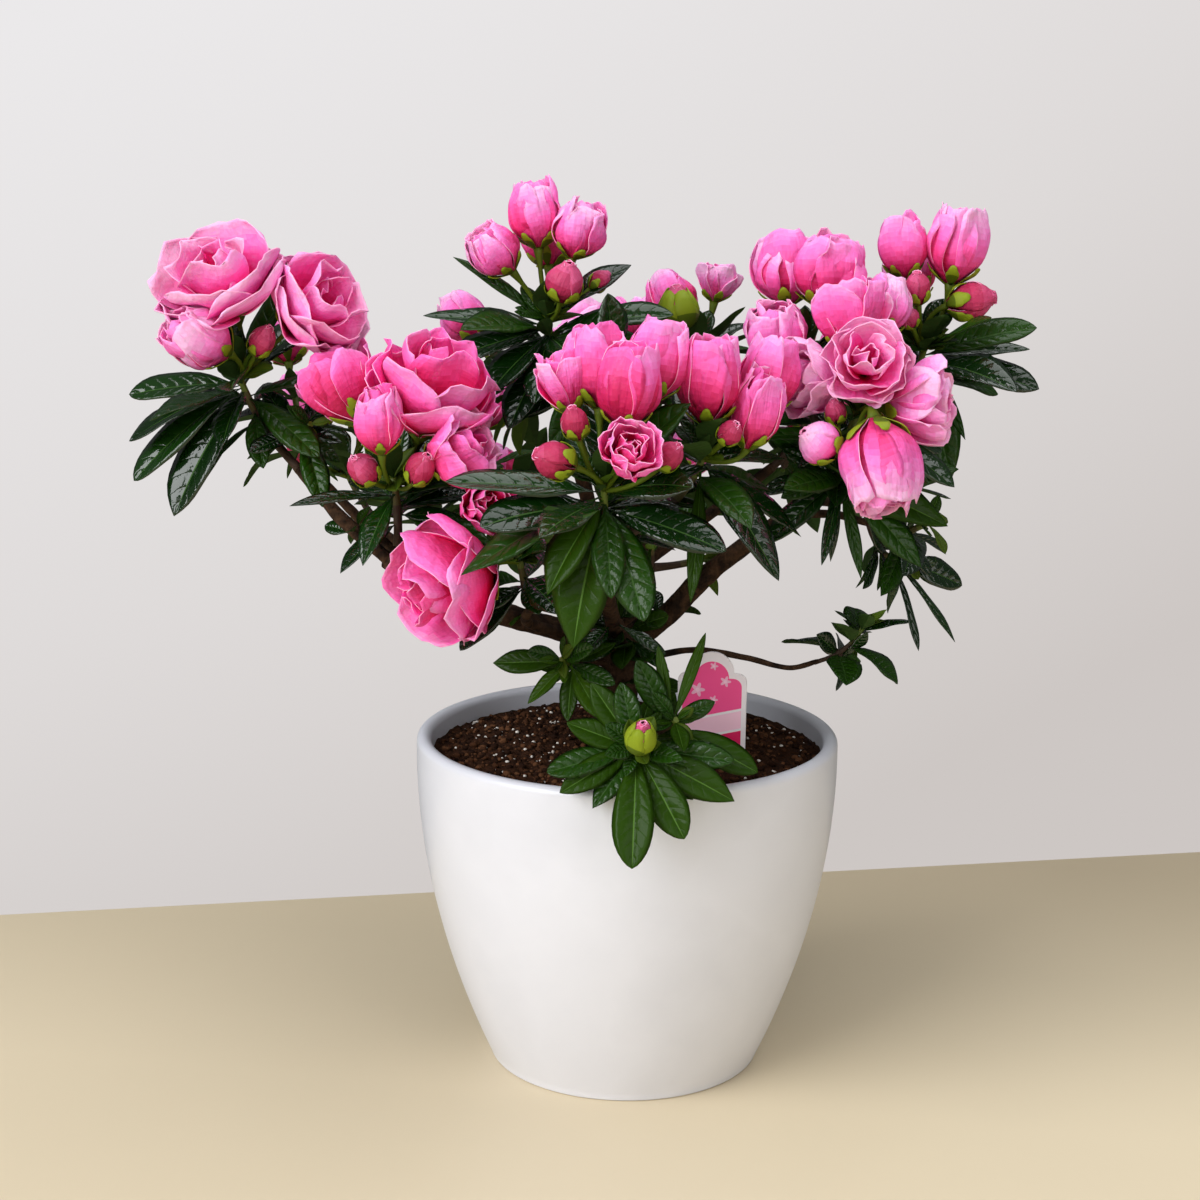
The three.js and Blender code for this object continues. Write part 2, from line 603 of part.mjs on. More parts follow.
// ---- masses: first every stem and bloom, then the leading leaves, then the rest of the whorls ---

function growStem(start, shoot) {
  const shares = Array.from({ length: stemShape.steps + 1 }, (_, i) => i / stemShape.steps);
  const points = shares.map((t) => stemPoint(start, shoot.tip, shoot.facing, t));
  const radii = shares.map((t) => stemShape.rootRadius + (stemShape.tipRadius - stemShape.rootRadius) * t);
  return { points, solid: toSolid(rod(points, radii, 3)) };
}

function growBloom(shoot, [kind, bearing, lean, reach, width, length, faceBearing, faceLean]) {
  const facing = aim(faceBearing, faceLean);
  const centre = along(shoot.tip, aim(bearing, lean), reach);
  return { kind, facing, foot: along(centre, facing, -length / 2), width, length };
}

// A bloom that goes straight on from its stem is drawn out to it; one that nods hangs on a stalk of its own.
function bloomSolids(shoot, bloom) {
  const root = along(shoot.tip, shoot.facing, -stemShape.stalkDepth);
  const isStraightOn = dot(unit(subtract(bloom.foot, shoot.tip)), bloom.facing) > 0.5;
  if (isStraightOn) return [bloomSolid(bloom, root)];
  const inside = along(bloom.foot, bloom.facing, 0.15 * bloom.length);
  const stalk = toSolid(rod([root, inside], [stemShape.stalk, stemShape.stalk], 3));
  return [bloomSolid(bloom, bloom.foot), stalk];
}

masses.forEach((mass, index) => {
  mass.owner = index + 1;
  mass.draw = seeded(1000 + 77 * index);
  const limb = byName.get(mass.limb);
  mass.solids = [];
  mass.shoots.forEach((shoot, i) => {
    const main = mass.shoots[0];
    shoot.facing = aim(...shoot.axis);
    shoot.start = i === 0 ? limb.curve.getPoint(1).toArray()
      : stemPoint(main.start, main.tip, main.facing, stemShape.branchAt);
    const stem = growStem(shoot.start, shoot);
    mass.solids.push(stem.solid);
    for (let s = 0; s <= 1; s += 0.1) claim([stemPoint(shoot.start, shoot.tip, shoot.facing, s)], mass.owner);
    for (const entry of shoot.blooms) {
      const bloom = growBloom(shoot, entry);
      mass.solids.push(...bloomSolids(shoot, bloom));
      const samples = bloomSamples(bloom);
      claim(samples, mass.owner);
      take(samples, bloomCells);
    }
  });
});

function tryLeaf(mass, leaf, leading = false) {
  const samples = leafSamples(leaf, 0);
  const outer = leafSamples(leaf, 0.3);
  if (samples.some(isInPot) || !isFree(samples, mass.owner)) return false;
  if (crosses(outer, bloomCells) || (!leading && crosses(outer, leafCells))) return false;
  claim(samples, mass.owner);
  take(outer, leafCells);
  mass.solids.push(leafSolid(leaf));
  return true;
}

for (const mass of masses) {
  for (const shoot of mass.shoots) {
    shoot.leading.forEach(([clock, angle, length, droop], i) => {
      const base = stemAt(shoot, 4 + 0.8 * i);
      tryLeaf(mass, { ...leafFrame(base, shoot.facing, clock, angle), length, droop }, true);
    });
  }
}

for (const mass of masses) {
  for (const shoot of mass.shoots) {
    const turn = 360 * mass.draw();
    for (let i = 0; i < shoot.leaves; i += 1) {
      const low = shoot.leaves > 1 ? i / (shoot.leaves - 1) : 1;
      const uneven = () => whorl.unevenness * (mass.draw() - 0.5);
      const clock = turn + GOLDEN_ANGLE * i + uneven();
      const angle = whorl.steepest + (whorl.flattest - whorl.steepest) * low + uneven();
      const fullness = 0.72 + 0.28 * Math.sin(Math.PI * (0.2 + 0.6 * low)); // longest in the middle
      const length = shoot.length * fullness * (0.88 + 0.2 * mass.draw());
      const droop = whorl.droop[0] + (whorl.droop[1] - whorl.droop[0]) * mass.draw();
      const base = stemAt(shoot, whorl.depth[0] + (whorl.depth[1] - whorl.depth[0]) * low);
      for (let again = 0; again < whorl.tries; again += 1) {
        const tried = clock + whorl.nextTry * again;
        if (tryLeaf(mass, { ...leafFrame(base, shoot.facing, tried, angle), length, droop })) break;
      }
    }
  }
}

for (const mass of masses) {
  const whole = largest(fuse(mass.solids).subtract(byName.get(mass.limb).grown).simplify(SEAM));
  addMesh(mass.name, toGeometry(whole), foliage);
}

// ---- pot, soil and label ------------------------------------------------------------------------

// The pot's outer radius: it swells quickly above the foot and is nearly upright at the belly.
function potRadius(z) {
  const rise = Math.max(0, 1 - z / pot.bellyHeight);
  return pot.radius - (pot.radius - pot.footRadius) * rise ** pot.bellyPower;
}

function potProfile() {
  const outer = [8, 18, 32, 48, 66, 86, 108].map((z) => [potRadius(z), z]);
  const rim = pot.wall / 2; // the lip is a half round as wide as the wall
  const lip = [0, 45, 90, 135, 180].map((turn) => [
    pot.radius - rim + rim * Math.cos(turn * DEG),
    pot.height - rim + rim * Math.sin(turn * DEG),
  ]);
  const inner = [90, 56, 28, pot.floor].map((z) => [potRadius(z) - pot.wall, z]);
  const foot = [[0, 0], [potRadius(0) - pot.footRound, 0], [potRadius(pot.footRound), pot.footRound]];
  return [...foot, ...outer, ...lip, ...inner, [0, pot.floor]].map(([x, y]) => new THREE.Vector2(x, y));
}

function soilProfile() {
  const wallGap = pot.wall + GAP + 0.3; // the last part clears the pot's flat facets
  const side = [pot.floor + GAP, 28, 56, 90, soil.edgeLevel].map((z) => [potRadius(z) - wallGap, z]);
  const bottom = [0, pot.floor + GAP];
  const top = [[soil.flatRadius, soil.level], [0, soil.level]];
  return [bottom, ...side, ...top].map(([x, y]) => new THREE.Vector2(x, y));
}

// LatheGeometry turns about +Y, so the turned solid is stood up afterwards.
function turned(profile, sides) {
  return new THREE.LatheGeometry(profile, sides).rotateX(Math.PI / 2);
}

// A tag with a domed top and two lower shoulders, grown by `grow` for the slot that it stands in.
function labelSolid(grow) {
  const half = label.width / 2 + grow;
  const shape = new THREE.Shape();
  shape.moveTo(-half, -label.buried - grow);
  shape.lineTo(half, -label.buried - grow);
  shape.lineTo(half, label.shoulder - label.shoulderRound);
  shape.quadraticCurveTo(half, label.shoulder, half - label.shoulderRound, label.shoulder);
  shape.lineTo(label.domeRadius, label.shoulder);
  shape.absarc(0, label.shoulder, label.domeRadius, 0, Math.PI, false);
  shape.lineTo(label.shoulderRound - half, label.shoulder);
  shape.quadraticCurveTo(-half, label.shoulder, -half, label.shoulder - label.shoulderRound);
  shape.lineTo(-half, -label.buried - grow);
  const depth = label.thickness + 2 * grow;
  const plate = new THREE.ExtrudeGeometry(shape, { depth, bevelEnabled: false, curveSegments: 5 });
  plate.translate(0, 0, -depth / 2).rotateX(Math.PI / 2 - label.lean * DEG).rotateZ(label.yaw * DEG);
  plate.translate(label.foot[0], label.foot[1], soil.level);
  return toSolid(plate);
}

addMesh('pot', toGeometry(toSolid(turned(potProfile(), pot.sides))), { color: 0xf1efee, roughness: 0.35 });
addMesh(
  'soil',
  toGeometry(toSolid(turned(soilProfile(), soil.sides)).subtract(labelSolid(GAP))),
  { color: 0x35231a, roughness: 0.95 },
);
addMesh('plant_label', toGeometry(labelSolid(0)), { color: 0xf3dfe8, roughness: 0.4 });

export default azalea;
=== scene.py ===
"""A potted azalea in bloom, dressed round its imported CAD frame: Blender 4.5.

The plant grows here by the same rule as the CAD solids do, from the same tables, and goes on to finer twigs,
leaves and petals. Tables and growth are in millimetres; each mesh is scaled to metres as it is made.
"""

import json
from math import atan2, ceil, cos, hypot, pi, radians, sin, sqrt

import bpy
import numpy as np
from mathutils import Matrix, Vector, noise

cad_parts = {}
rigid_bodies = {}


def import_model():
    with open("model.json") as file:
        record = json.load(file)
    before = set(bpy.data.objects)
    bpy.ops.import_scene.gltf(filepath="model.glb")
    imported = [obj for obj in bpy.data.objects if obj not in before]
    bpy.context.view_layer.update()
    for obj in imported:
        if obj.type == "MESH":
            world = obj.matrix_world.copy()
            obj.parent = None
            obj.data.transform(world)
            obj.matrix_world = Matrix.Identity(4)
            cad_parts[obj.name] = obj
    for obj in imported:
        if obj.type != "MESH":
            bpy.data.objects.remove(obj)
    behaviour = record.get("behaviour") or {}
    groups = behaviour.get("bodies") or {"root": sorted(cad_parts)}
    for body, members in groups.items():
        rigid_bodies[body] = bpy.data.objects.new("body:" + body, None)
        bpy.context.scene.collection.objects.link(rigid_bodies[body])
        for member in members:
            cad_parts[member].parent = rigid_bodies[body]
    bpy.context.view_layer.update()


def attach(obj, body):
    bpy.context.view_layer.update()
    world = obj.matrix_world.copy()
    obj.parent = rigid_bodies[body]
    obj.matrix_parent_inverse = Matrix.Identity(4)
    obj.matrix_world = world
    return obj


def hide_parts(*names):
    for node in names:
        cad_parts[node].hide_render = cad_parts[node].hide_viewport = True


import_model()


class Record(dict):
    """Named values that are also read and set as attributes."""

    __getattr__ = dict.__getitem__
    __setattr__ = dict.__setitem__


MM = 0.001
GOLDEN_ANGLE = 137.5  # degrees from each leaf of a whorl to the next

POT = Record(height=120, radius=75.2, foot_radius=48.7, belly_height=112, belly_power=1.93,
             wall=5.2, floor=6, foot_round=1.2, sides=192)
SOIL = Record(level=115, edge_level=112.5, flat_radius=16, underside=98, middle_radius=0.6, seat=0.05,
              rows=72, sides=210, crumbs=3300, specks=300)
LABEL = Record(foot=(29, -20), buried=14, width=24, thickness=1.2, dome_radius=7.5, shoulder=31,
               shoulder_round=3, yaw=-8, lean=3, margin=1.7)
STEM = Record(root_radius=1.7, tip_radius=1.1, branch_at=0.35, stalk=0.85, stalk_depth=3)
THICKNESS = dict(trunk=1, twig=0.72, bough=0.84)  # of limbs as they are drawn, as a share of their solids
LEAF_WIDTH = 0.34  # share of a leaf's length
WHORL = Record(steepest=42, flattest=104, depth=(2, 13), droop=(10, 34), unevenness=12, tries=3, next_try=47,
               pot_gap=1.6)
CELL = 2.2  # side of the cells of space that each mass keeps to itself

# How many leaves a shoot has beyond those of the CAD solids: young ones at its tip, small ones down its stem,
# bracts under its blooms or at a bare tip, and broad ones among two blooms or more.
FINER = Record(young=5, small=12, bracts=9, bare_bracts=3, broad=2, next_try=61)
WIDER = Record(spur=1.35, bract=1.3, broad=1.55, low_right=1.5)  # than leaves are as a rule
SEEDS = dict(whorls=(1000, 77), finer=(9031, 31), spurs=(4000, 57), looks=(513, 13), spur_looks=(321, 0),
             soil=(77, 0))  # the first one's seed, and the step to the next
TURN = 6.3  # about a full turn, in radians

EYE = np.array([-10.1, -693.1, 312.6])
PITCH, ROLL = radians(11.815), radians(0.48)
LENS, SENSOR = 60, 36
FRAME = 1200  # the frame's width in the units that openings are given in
LEFT_OUT, NARROWED = 0.4, 0.08  # the share of a leaf in an opening that makes it so
NARROW = 0.42  # how wide it is drawn then

# Gaps between leaves and boughs where the wall shows, as the camera sees them: the middle and half-axes of
# an ellipse in the frame, from its top left corner.
OPENINGS = [
    (676, 566, 36, 26), (828, 580, 34, 36), (925, 625, 14, 22), (968, 540, 28, 28), (985, 416, 27, 24),
    (972, 470, 18, 42), (218, 486, 15, 22), (288, 488, 20, 18), (312, 556, 32, 26), (272, 522, 26, 24),
    (343, 498, 12, 26), (462, 268, 17, 15), (676, 644, 24, 20),
]


def limb(name, parent, radius, path):
    """The limb it leaves and how far along it, its radii at root and tip, and the points it passes."""
    return Record(name=name, parent=parent, radius=radius, path=path)


def shoot(tip, axis, leaves, length, leading=(), blooms=()):
    """A stem's tip, the way its whorl faces as bearing and lean, and how many leaves it has and how long.

    A leading leaf is (clock, angle, length, droop). A bloom is (kind, bearing, lean, distance of its centre
    from the tip, width, length, bearing it faces, lean it faces).
    """
    return Record(tip=np.array(tip, float), axis=axis, leaves=leaves, length=length,
                  leading=leading, blooms=blooms)


def mass(name, limb_name, group, shoots):
    return Record(name=name, limb=limb_name, group=group, shoots=shoots)


LIMBS = [
    limb("trunk", None, (9, 7), [(-2, 0, 108), (-3.5, -1, 131), (-0.5, 0, 153)]),
    limb("bough_left", ("trunk", 0.85), (5.6, 3.6), [(-22, -2, 156), (-52, -10, 167), (-83, -25, 186)]),
    limb("bough_left_high", ("bough_left", 0.97), (3, 2.2), [(-99, -23, 201), (-114, -17, 217)]),
    limb("bough_left_twin", ("bough_left", 0.86), (2.4, 1.8), [(-92, -10, 196), (-111, -2, 214)]),
    limb("bough_left_front", ("bough_left", 0.72), (2.6, 2), [(-71, -27, 184), (-78, -33, 194)]),
    limb("bough_inner_left", ("bough_left", 0.3), (2.6, 1.9), [(-35, -20, 164), (-33, -36, 173)]),
    limb("bough_right", ("trunk", 0.95), (5, 3.8), [(12, -2, 161), (25, -5, 176), (42, -10, 191)]),
    limb("bough_right_front", ("bough_right", 0.98), (2.8, 2.2), [(55, -18, 201), (62, -27, 207)]),
    limb("bough_right_high", ("bough_right", 0.9), (3, 2.1), [(58, -4, 203), (84, 2, 226)]),
    limb("bough_right_low", ("bough_right_high", 0.4), (1.9, 1.4), [(72, 0, 199), (84, 0, 196)]),
    limb("bough_front", ("trunk", 0.98), (4, 2.8), [(-6, -22, 166), (-9, -52, 189)]),
    limb("bough_top", ("trunk", 1), (4.4, 2.4), [(-8, 6, 178), (-16, 11, 206), (-24, 11, 238)]),
    limb("bough_back", ("trunk", 0.92), (4.6, 3), [(4, 22, 165), (8, 50, 180), (6, 74, 196)]),
    limb("bough_back_high", ("bough_top", 0.35), (2.9, 2), [(4, 24, 204), (17, 40, 226)]),
    limb("bough_back_left", ("bough_back", 0.3), (3.4, 2.4), [(-26, 42, 172), (-48, 64, 180)]),
    limb("bough_back_right", ("bough_back", 0.55), (3, 2.2), [(32, 66, 188), (56, 70, 206)]),
    limb("bough_side_right", ("bough_right_high", 0.55), (2.2, 1.6), [(74, 22, 200), (82, 36, 200)]),
    limb("bough_side_left", ("bough_left", 0.5), (2.5, 1.8), [(-72, 10, 178), (-88, 26, 186)]),
    limb("twig_inner", ("bough_front", 0.3), (1.8, 1.4), [(4, -16, 168), (8, -12, 174)]),
    limb("twig_low_right", ("trunk", 0.8), (1.7, 1.2),
         [(22, 3, 149), (42, 0, 147), (58, 0, 143.5), (68, 0, 146)]),
    limb("twig_low_front", ("trunk", 0.45), (2.4, 1.7), [(0, -28, 138), (1, -50, 137)]),
    limb("twig_low_left", ("trunk", 0.7), (1.8, 1.3), [(-9, -10, 147), (-14, -16, 149)]),
]
MASSES = [
    mass("left_crown", "bough_left_high", "left", [
        shoot((-134, -10, 248), (-120, 22), 14, 42, leading=[
            (178, 80, 40, 14), (192, 92, 44, 22), (200, 104, 50, 22), (222, 118, 50, 20), (262, 84, 32, 30),
            (12, 88, 42, 10), (345, 104, 38, 16), (312, 100, 40, 20),
        ], blooms=[
            ("open", -114, 17, 33, 41, 26, -120, 34), ("open", -12, 52, 37, 34, 27, -35, 58),
            ("fat", -125, 54, 22, 18, 23, 205, 60),
        ]),
        shoot((-108, -22, 232), (-60, 55), 5, 30, leading=[(250, 100, 30, 20)]),
    ]),
    mass("left_front", "bough_left_front", "left", [
        shoot((-79, -35, 216), (-110, 20), 12, 38, leading=[
            (182, 84, 38, 18), (212, 104, 36, 24), (250, 96, 32, 30), (290, 100, 32, 22), (340, 92, 32, 16),
        ], blooms=[
            ("cup", 150, 35, 34, 24, 26, 150, 38), ("fat", -98, 39, 27, 14, 22, -98, 8),
            ("open", -4, 24, 33, 38, 34, -40, 22), ("cup", -25, 68, 26, 24, 22, -25, 62),
            ("bud", -121, 74, 17, 9, 14, -121, 50), ("bud", -55, 74, 19, 9, 14, -55, 45),
        ]),
    ]),
    mass("inner_left", "bough_inner_left", "left", [
        shoot((-37, -45, 192), (-110, 20), 6, 32, blooms=[
            ("open", -150, 104, 27, 38, 34, -150, 104), ("cup", -172, 33, 20, 17, 19, -70, 72),
        ]),
    ]),
    mass("top", "bough_top", "middle", [
        shoot((-29, 10, 267), (-95, 16), 15, 42, leading=[
            (181, 80, 44, 8), (200, 94, 42, 14), (262, 104, 36, 20), (232, 102, 40, 18), (300, 98, 36, 16),
            (352, 86, 34, 10), (262, 46, 20, 10),
        ], blooms=[
            ("fat", 180, 7, 35, 17, 23, 180, 4), ("fat", -25, 22, 32, 16, 20, -25, 16),
            ("fat", -164, 41, 29, 15, 18, -164, 42), ("bud", -67, 52, 20, 12, 15, -67, 30),
            ("fat", 91, 37, 31, 16, 20, 91, 30),
        ]),
        shoot((-46, 26, 243), (150, 50), 9, 36, blooms=[("fat", 140, 42, 27, 15, 20, 140, 40)]),
        shoot((-6, -2, 246), (-50, 50), 9, 36),
    ]),
    mass("back_high", "bough_back_high", "back", [
        shoot((24, 48, 251), (60, 12), 14, 36, leading=[(178, 84, 36, 10), (235, 92, 34, 12)], blooms=[
            ("cup", 55, 31, 29, 15, 14, 40, 12), ("green", -129, 32, 20, 14, 17, -120, 10),
            ("fat", 110, 52, 29, 17, 22, 110, 48),
        ]),
        shoot((6, 62, 238), (130, 45), 8, 34, blooms=[("fat", 125, 40, 26, 16, 22, 125, 38)]),
    ]),
    mass("front", "bough_front", "middle", [
        shoot((-9, -75, 221), (-90, 16), 12, 40, leading=[
            (180, 82, 50, 8), (204, 104, 52, 14), (228, 122, 36, 22), (246, 140, 48, 22), (275, 112, 34, 30),
            (292, 116, 42, 22), (314, 104, 44, 20), (336, 92, 42, 14), (160, 88, 40, 10),
        ], blooms=[
            ("fat", -47, 18, 32, 17, 26, -50, 6), ("fat", 107, 12, 36, 18, 25, 107, 6),
            ("fat", 28, 27, 42, 17, 25, 30, 10), ("cup", -70, 61, 25, 17, 16, -80, 62),
            ("bud", -140, 67, 22, 11, 14, -165, 70), ("cup", 160, 24, 33, 15, 20, 170, 14),
        ]),
        shoot((23, -60, 229), (-45, 20), 9, 38, leading=[
            (322, 112, 46, 18), (280, 130, 46, 18), (0, 104, 42, 16), (35, 98, 36, 14),
        ], blooms=[
            ("fat", -81, 11, 23, 18, 27, -80, 4), ("fat", 26, 45, 33, 17, 25, 40, 14),
            ("fat", -8, 50, 21, 15, 25, 0, 14),
        ]),
    ]),
    mass("right_front", "bough_right_front", "right", [
        shoot((75, -32, 240), (-40, 20), 9, 38, leading=[(340, 96, 40, 16), (20, 92, 38, 14)], blooms=[
            ("cup", 111, 15, 30, 23, 25, 111, 10), ("fat", 61, 32, 38, 16, 20, 61, 20),
            ("open", -92, 49, 26, 25, 20, -92, 62), ("cup", -38, 81, 22, 24, 24, -15, 84),
            ("cup", -158, 62, 20, 22, 22, -150, 78),
        ]),
        shoot((70, -42, 219), (-80, 50), 11, 38, leading=[
            (12, 84, 42, 16), (345, 92, 40, 18), (320, 98, 40, 18), (285, 100, 34, 18), (262, 106, 36, 20),
            (222, 100, 34, 16), (190, 92, 30, 14),
        ], blooms=[
            ("fat", -70, 75, 25, 22, 30, -75, 155), ("bud", -123, 57, 24, 13, 14, -150, 60),
        ]),
        shoot((58, -6, 256), (120, 15), 10, 34, leading=[(165, 92, 34, 16)], blooms=[
            ("fat", 139, 16, 29, 20, 24, 139, 8), ("fat", -21, 18, 29, 23, 24, -21, 10),
            ("fat", -124, 66, 20, 19, 21, -110, 24),
        ]),
    ]),
    mass("right_high", "bough_right_high", "right", [
        shoot((102, 5, 258), (-70, 20), 14, 40, leading=[
            (4, 76, 38, 10), (348, 88, 42, 12), (332, 96, 36, 16), (296, 104, 36, 18), (310, 140, 42, 8),
            (30, 88, 36, 12),
        ], blooms=[
            ("fat", 180, 15, 35, 15, 22, 180, 6), ("fat", 0, 15, 36, 19, 27, 0, 6),
            ("bud", -20, 45, 22, 12, 17, -5, 78), ("fat", 100, 37, 31, 16, 22, 100, 32),
        ]),
    ]),
    mass("right_low", "bough_right_low", "right", [
        shoot((97, 0, 183), (-20, 80), 9, 32, leading=[
            (280, 60, 38, 10), (255, 74, 34, 10), (300, 100, 28, 10), (30, 84, 30, 12), (150, 100, 26, 10),
        ]),
        shoot((104, -8, 198), (-30, 60), 7, 32),
    ]),
    mass("low_right", "twig_low_right", "low", [
        shoot((83, 0, 158), (20, 30), 6, 24, leading=[(190, 60, 20, 10)]),
        shoot((77, 2, 146), (-20, 90), 4, 17),
    ]),
    mass("low_front", "twig_low_front", "low", [
        shoot((2, -78, 136), (-90, 62), 5, 25, leading=[
            (268, 70, 40, 26), (297, 70, 34, 24), (331, 76, 36, 18), (352, 76, 32, 12), (125, 80, 26, 8),
            (160, 82, 24, 10), (196, 80, 30, 16), (212, 76, 29, 20), (236, 72, 25, 24), (316, 72, 26, 20),
        ], blooms=[("green", -84, 58, 12, 9, 14, -80, 36)]),
        shoot((15, -66, 142), (-80, 60), 3, 20, leading=[
            (71, 76, 32, 8), (102, 74, 26, 8), (122, 70, 24, 4), (332, 76, 33, 14), (28, 74, 18, 8),
        ]),
    ]),
    mass("inner_low", "twig_inner", "low", [
        shoot((7, -20, 193), (-95, 50), 9, 27),
        shoot((24, -4, 183), (-40, 70), 7, 24),
    ]),
    mass("low_left", "twig_low_left", "low", [
        shoot((-23, -33, 154), (-115, 62), 4, 22, leading=[
            (176, 82, 27, 10), (120, 84, 20, 8), (222, 84, 20, 12), (300, 84, 25, 12), (330, 80, 20, 10),
        ]),
    ]),
    mass("back", "bough_back", "back", [
        shoot((2, 102, 224), (90, 20), 11, 38, blooms=[
            ("fat", 60, 20, 32, 18, 25, 60, 12), ("open", 130, 48, 34, 34, 28, 120, 50),
            ("fat", 0, 48, 30, 16, 22, 0, 45), ("bud", 90, 75, 22, 9, 14, 90, 60),
        ]),
        shoot((12, 106, 192), (80, 75), 8, 36, blooms=[("cup", 70, 75, 27, 22, 24, 70, 75)]),
    ]),
    mass("back_left", "bough_back_left", "back", [
        shoot((-64, 84, 204), (130, 22), 11, 36, blooms=[
            ("open", 125, 44, 31, 36, 28, 125, 46), ("fat", 40, 34, 28, 16, 22, 40, 28),
            ("fat", -160, 44, 24, 15, 20, -160, 40), ("bud", 170, 70, 20, 9, 14, 170, 60),
        ]),
        shoot((-46, 94, 186), (110, 70), 9, 34, blooms=[("fat", 105, 66, 26, 17, 24, 105, 64)]),
    ]),
    mass("back_right", "bough_back_right", "back", [
        shoot((72, 82, 231), (50, 20), 11, 36, blooms=[
            ("fat", 150, 24, 27, 16, 22, 150, 18), ("cup", 40, 42, 31, 24, 26, 40, 42),
            ("fat", -60, 40, 26, 15, 20, -60, 34),
        ]),
        shoot((64, 98, 204), (70, 70), 8, 34, blooms=[("fat", 60, 64, 26, 17, 23, 60, 60)]),
    ]),
    mass("side_right", "bough_side_right", "right", [
        shoot((94, 55, 210), (50, 35), 10, 34, blooms=[
            ("cup", 55, 50, 29, 24, 25, 55, 48), ("fat", 120, 30, 26, 16, 22, 120, 24),
            ("bud", -30, 62, 18, 9, 14, -30, 50),
        ]),
    ]),
    mass("side_left", "bough_side_left", "left", [
        shoot((-105, 44, 207), (150, 30), 11, 36, blooms=[
            ("fat", 160, 36, 28, 17, 24, 160, 32), ("fat", 60, 36, 26, 16, 22, 60, 30),
            ("bud", -150, 66, 19, 9, 13, -150, 55),
        ]),
    ]),
    mass("left_inner", "bough_left_twin", "left", [
        shoot((-119, 16, 238), (110, 30), 7, 32, blooms=[("fat", 110, 40, 25, 16, 22, 110, 36)]),
    ]),
]

# Buds too small for the CAD solids: the mass, which of its shoots, and the buds as blooms are given above.
SMALL_BUDS = [
    ("left_crown", 0, [("bud", -43, 50, 18, 8, 13, -43, 40)]),
    ("top", 0, [("bud", 16, 58, 22, 6.5, 9, 16, 50)]),
    ("front", 0, [("bud", -132, 35, 24, 8, 11, -132, 20), ("bud", -35, 67, 26, 8, 11, -35, 45)]),
    ("front", 1, [("bud", -60, 62, 16, 7, 10, -60, 50)]),
    ("right_front", 1, [("bud", -126, 20, 23, 6.5, 9, -126, 20)]),
    ("right_high", 0, [("bud", -114, 32, 24, 8, 12, -114, 20), ("bud", -123, 55, 18, 6.5, 9, -123, 45)]),
]

# Short shoots of small leaves straight on a limb: the limb, how far along it, how many leaves and how long.
SPURS = [
    ("trunk", 0.66, 4, 17), ("trunk", 0.9, 6, 20), ("trunk", 1.0, 6, 22), ("bough_left", 0.12, 5, 20),
    ("bough_front", 0.2, 5, 22), ("bough_front", 0.45, 4, 20), ("bough_right", 0.3, 4, 17),
    ("bough_top", 0.2, 4, 20), ("bough_left", 0.5, 3, 15), ("bough_back", 0.25, 4, 20),
    ("bough_left_high", 0.35, 4, 13), ("bough_left", 0.85, 3, 13),
]

# ---- numbers, directions and curves ----


def unit(a):
    return a / np.linalg.norm(a)


def seeded(use, number=1):
    """The same run of numbers from 0 to 1 for the same use and number."""
    first, step = SEEDS[use]
    state = first + step * (number - 1)

    def draw():
        nonlocal state
        state = (state * 1664525 + 1013904223) % 4294967296
        return state / 4294967296

    return draw


def aim(bearing, lean):
    b, l = radians(bearing), radians(lean)
    return np.array([sin(l) * cos(b), sin(l) * sin(b), cos(l)])


def turns(sides):
    """Evenly spaced angles round a circle."""
    return 2 * pi * np.arange(sides) / sides


def dial(axis):
    """Two directions square to an axis, the first the nearest to +X."""
    x = np.array([0.0, 1, 0] if abs(axis[0]) > 0.9 else [1.0, 0, 0])
    right = unit(x - axis * (x @ axis))
    return right, np.cross(axis, right)


def stem_point(start, tip, axis, t):
    """A shoot's stem curves from where it starts to its tip, which it reaches along its axis."""
    t = np.asarray(t, float)[..., None]
    bend = tip - axis * 0.5 * np.linalg.norm(tip - start)
    return start * (1 - t) ** 2 + bend * 2 * t * (1 - t) + tip * t * t


def stem_at(stem, depth):
    """The point of a shoot's stem that lies `depth` below its tip."""
    t = max(0.1, 1 - depth / np.linalg.norm(stem.tip - stem.start))
    return stem_point(stem.start, stem.tip, stem.facing, t)


def limb_point(points, share):
    """A centripetal Catmull-Rom curve through points."""
    last = len(points) - 1
    at = min(int(last * share), last - 1)
    t = last * share - at
    p1, p2 = points[at], points[at + 1]
    p0 = points[at - 1] if at > 0 else 2 * p1 - p2
    p3 = points[at + 2] if at + 2 <= last else 2 * p2 - p1
    d0, d1, d2 = (sqrt(np.linalg.norm(b - a)) for a, b in ((p0, p1), (p1, p2), (p2, p3)))
    m1 = d1 * ((p1 - p0) / d0 - (p2 - p0) / (d0 + d1) + (p2 - p1) / d1)
    m2 = d1 * ((p2 - p1) / d1 - (p3 - p1) / (d1 + d2) + (p3 - p2) / d2)
    return p1 + m1 * t + (3 * (p2 - p1) - 2 * m1 - m2) * t * t + (2 * (p1 - p2) + m1 + m2) * t ** 3


def limb_points(branch, count):
    return np.array([limb_point(branch.points, i / count) for i in range(count + 1)])


def limb_radius(branch, t):
    root, tip = branch.radius
    flare = 3.5 * max(0, 1 - t / 0.3) ** 2 if branch.name == "trunk" else 0
    return root + (tip - root) * t + flare


def pot_radius(z):
    """The pot's outer radius: it swells quickly above the foot and is nearly upright at the belly."""
    rise = np.maximum(0, 1 - np.asarray(z, float) / POT.belly_height)
    return POT.radius - (POT.radius - POT.foot_radius) * rise ** POT.belly_power


def length_of(points):
    return np.linalg.norm(np.diff(points, axis=0), axis=1).sum()


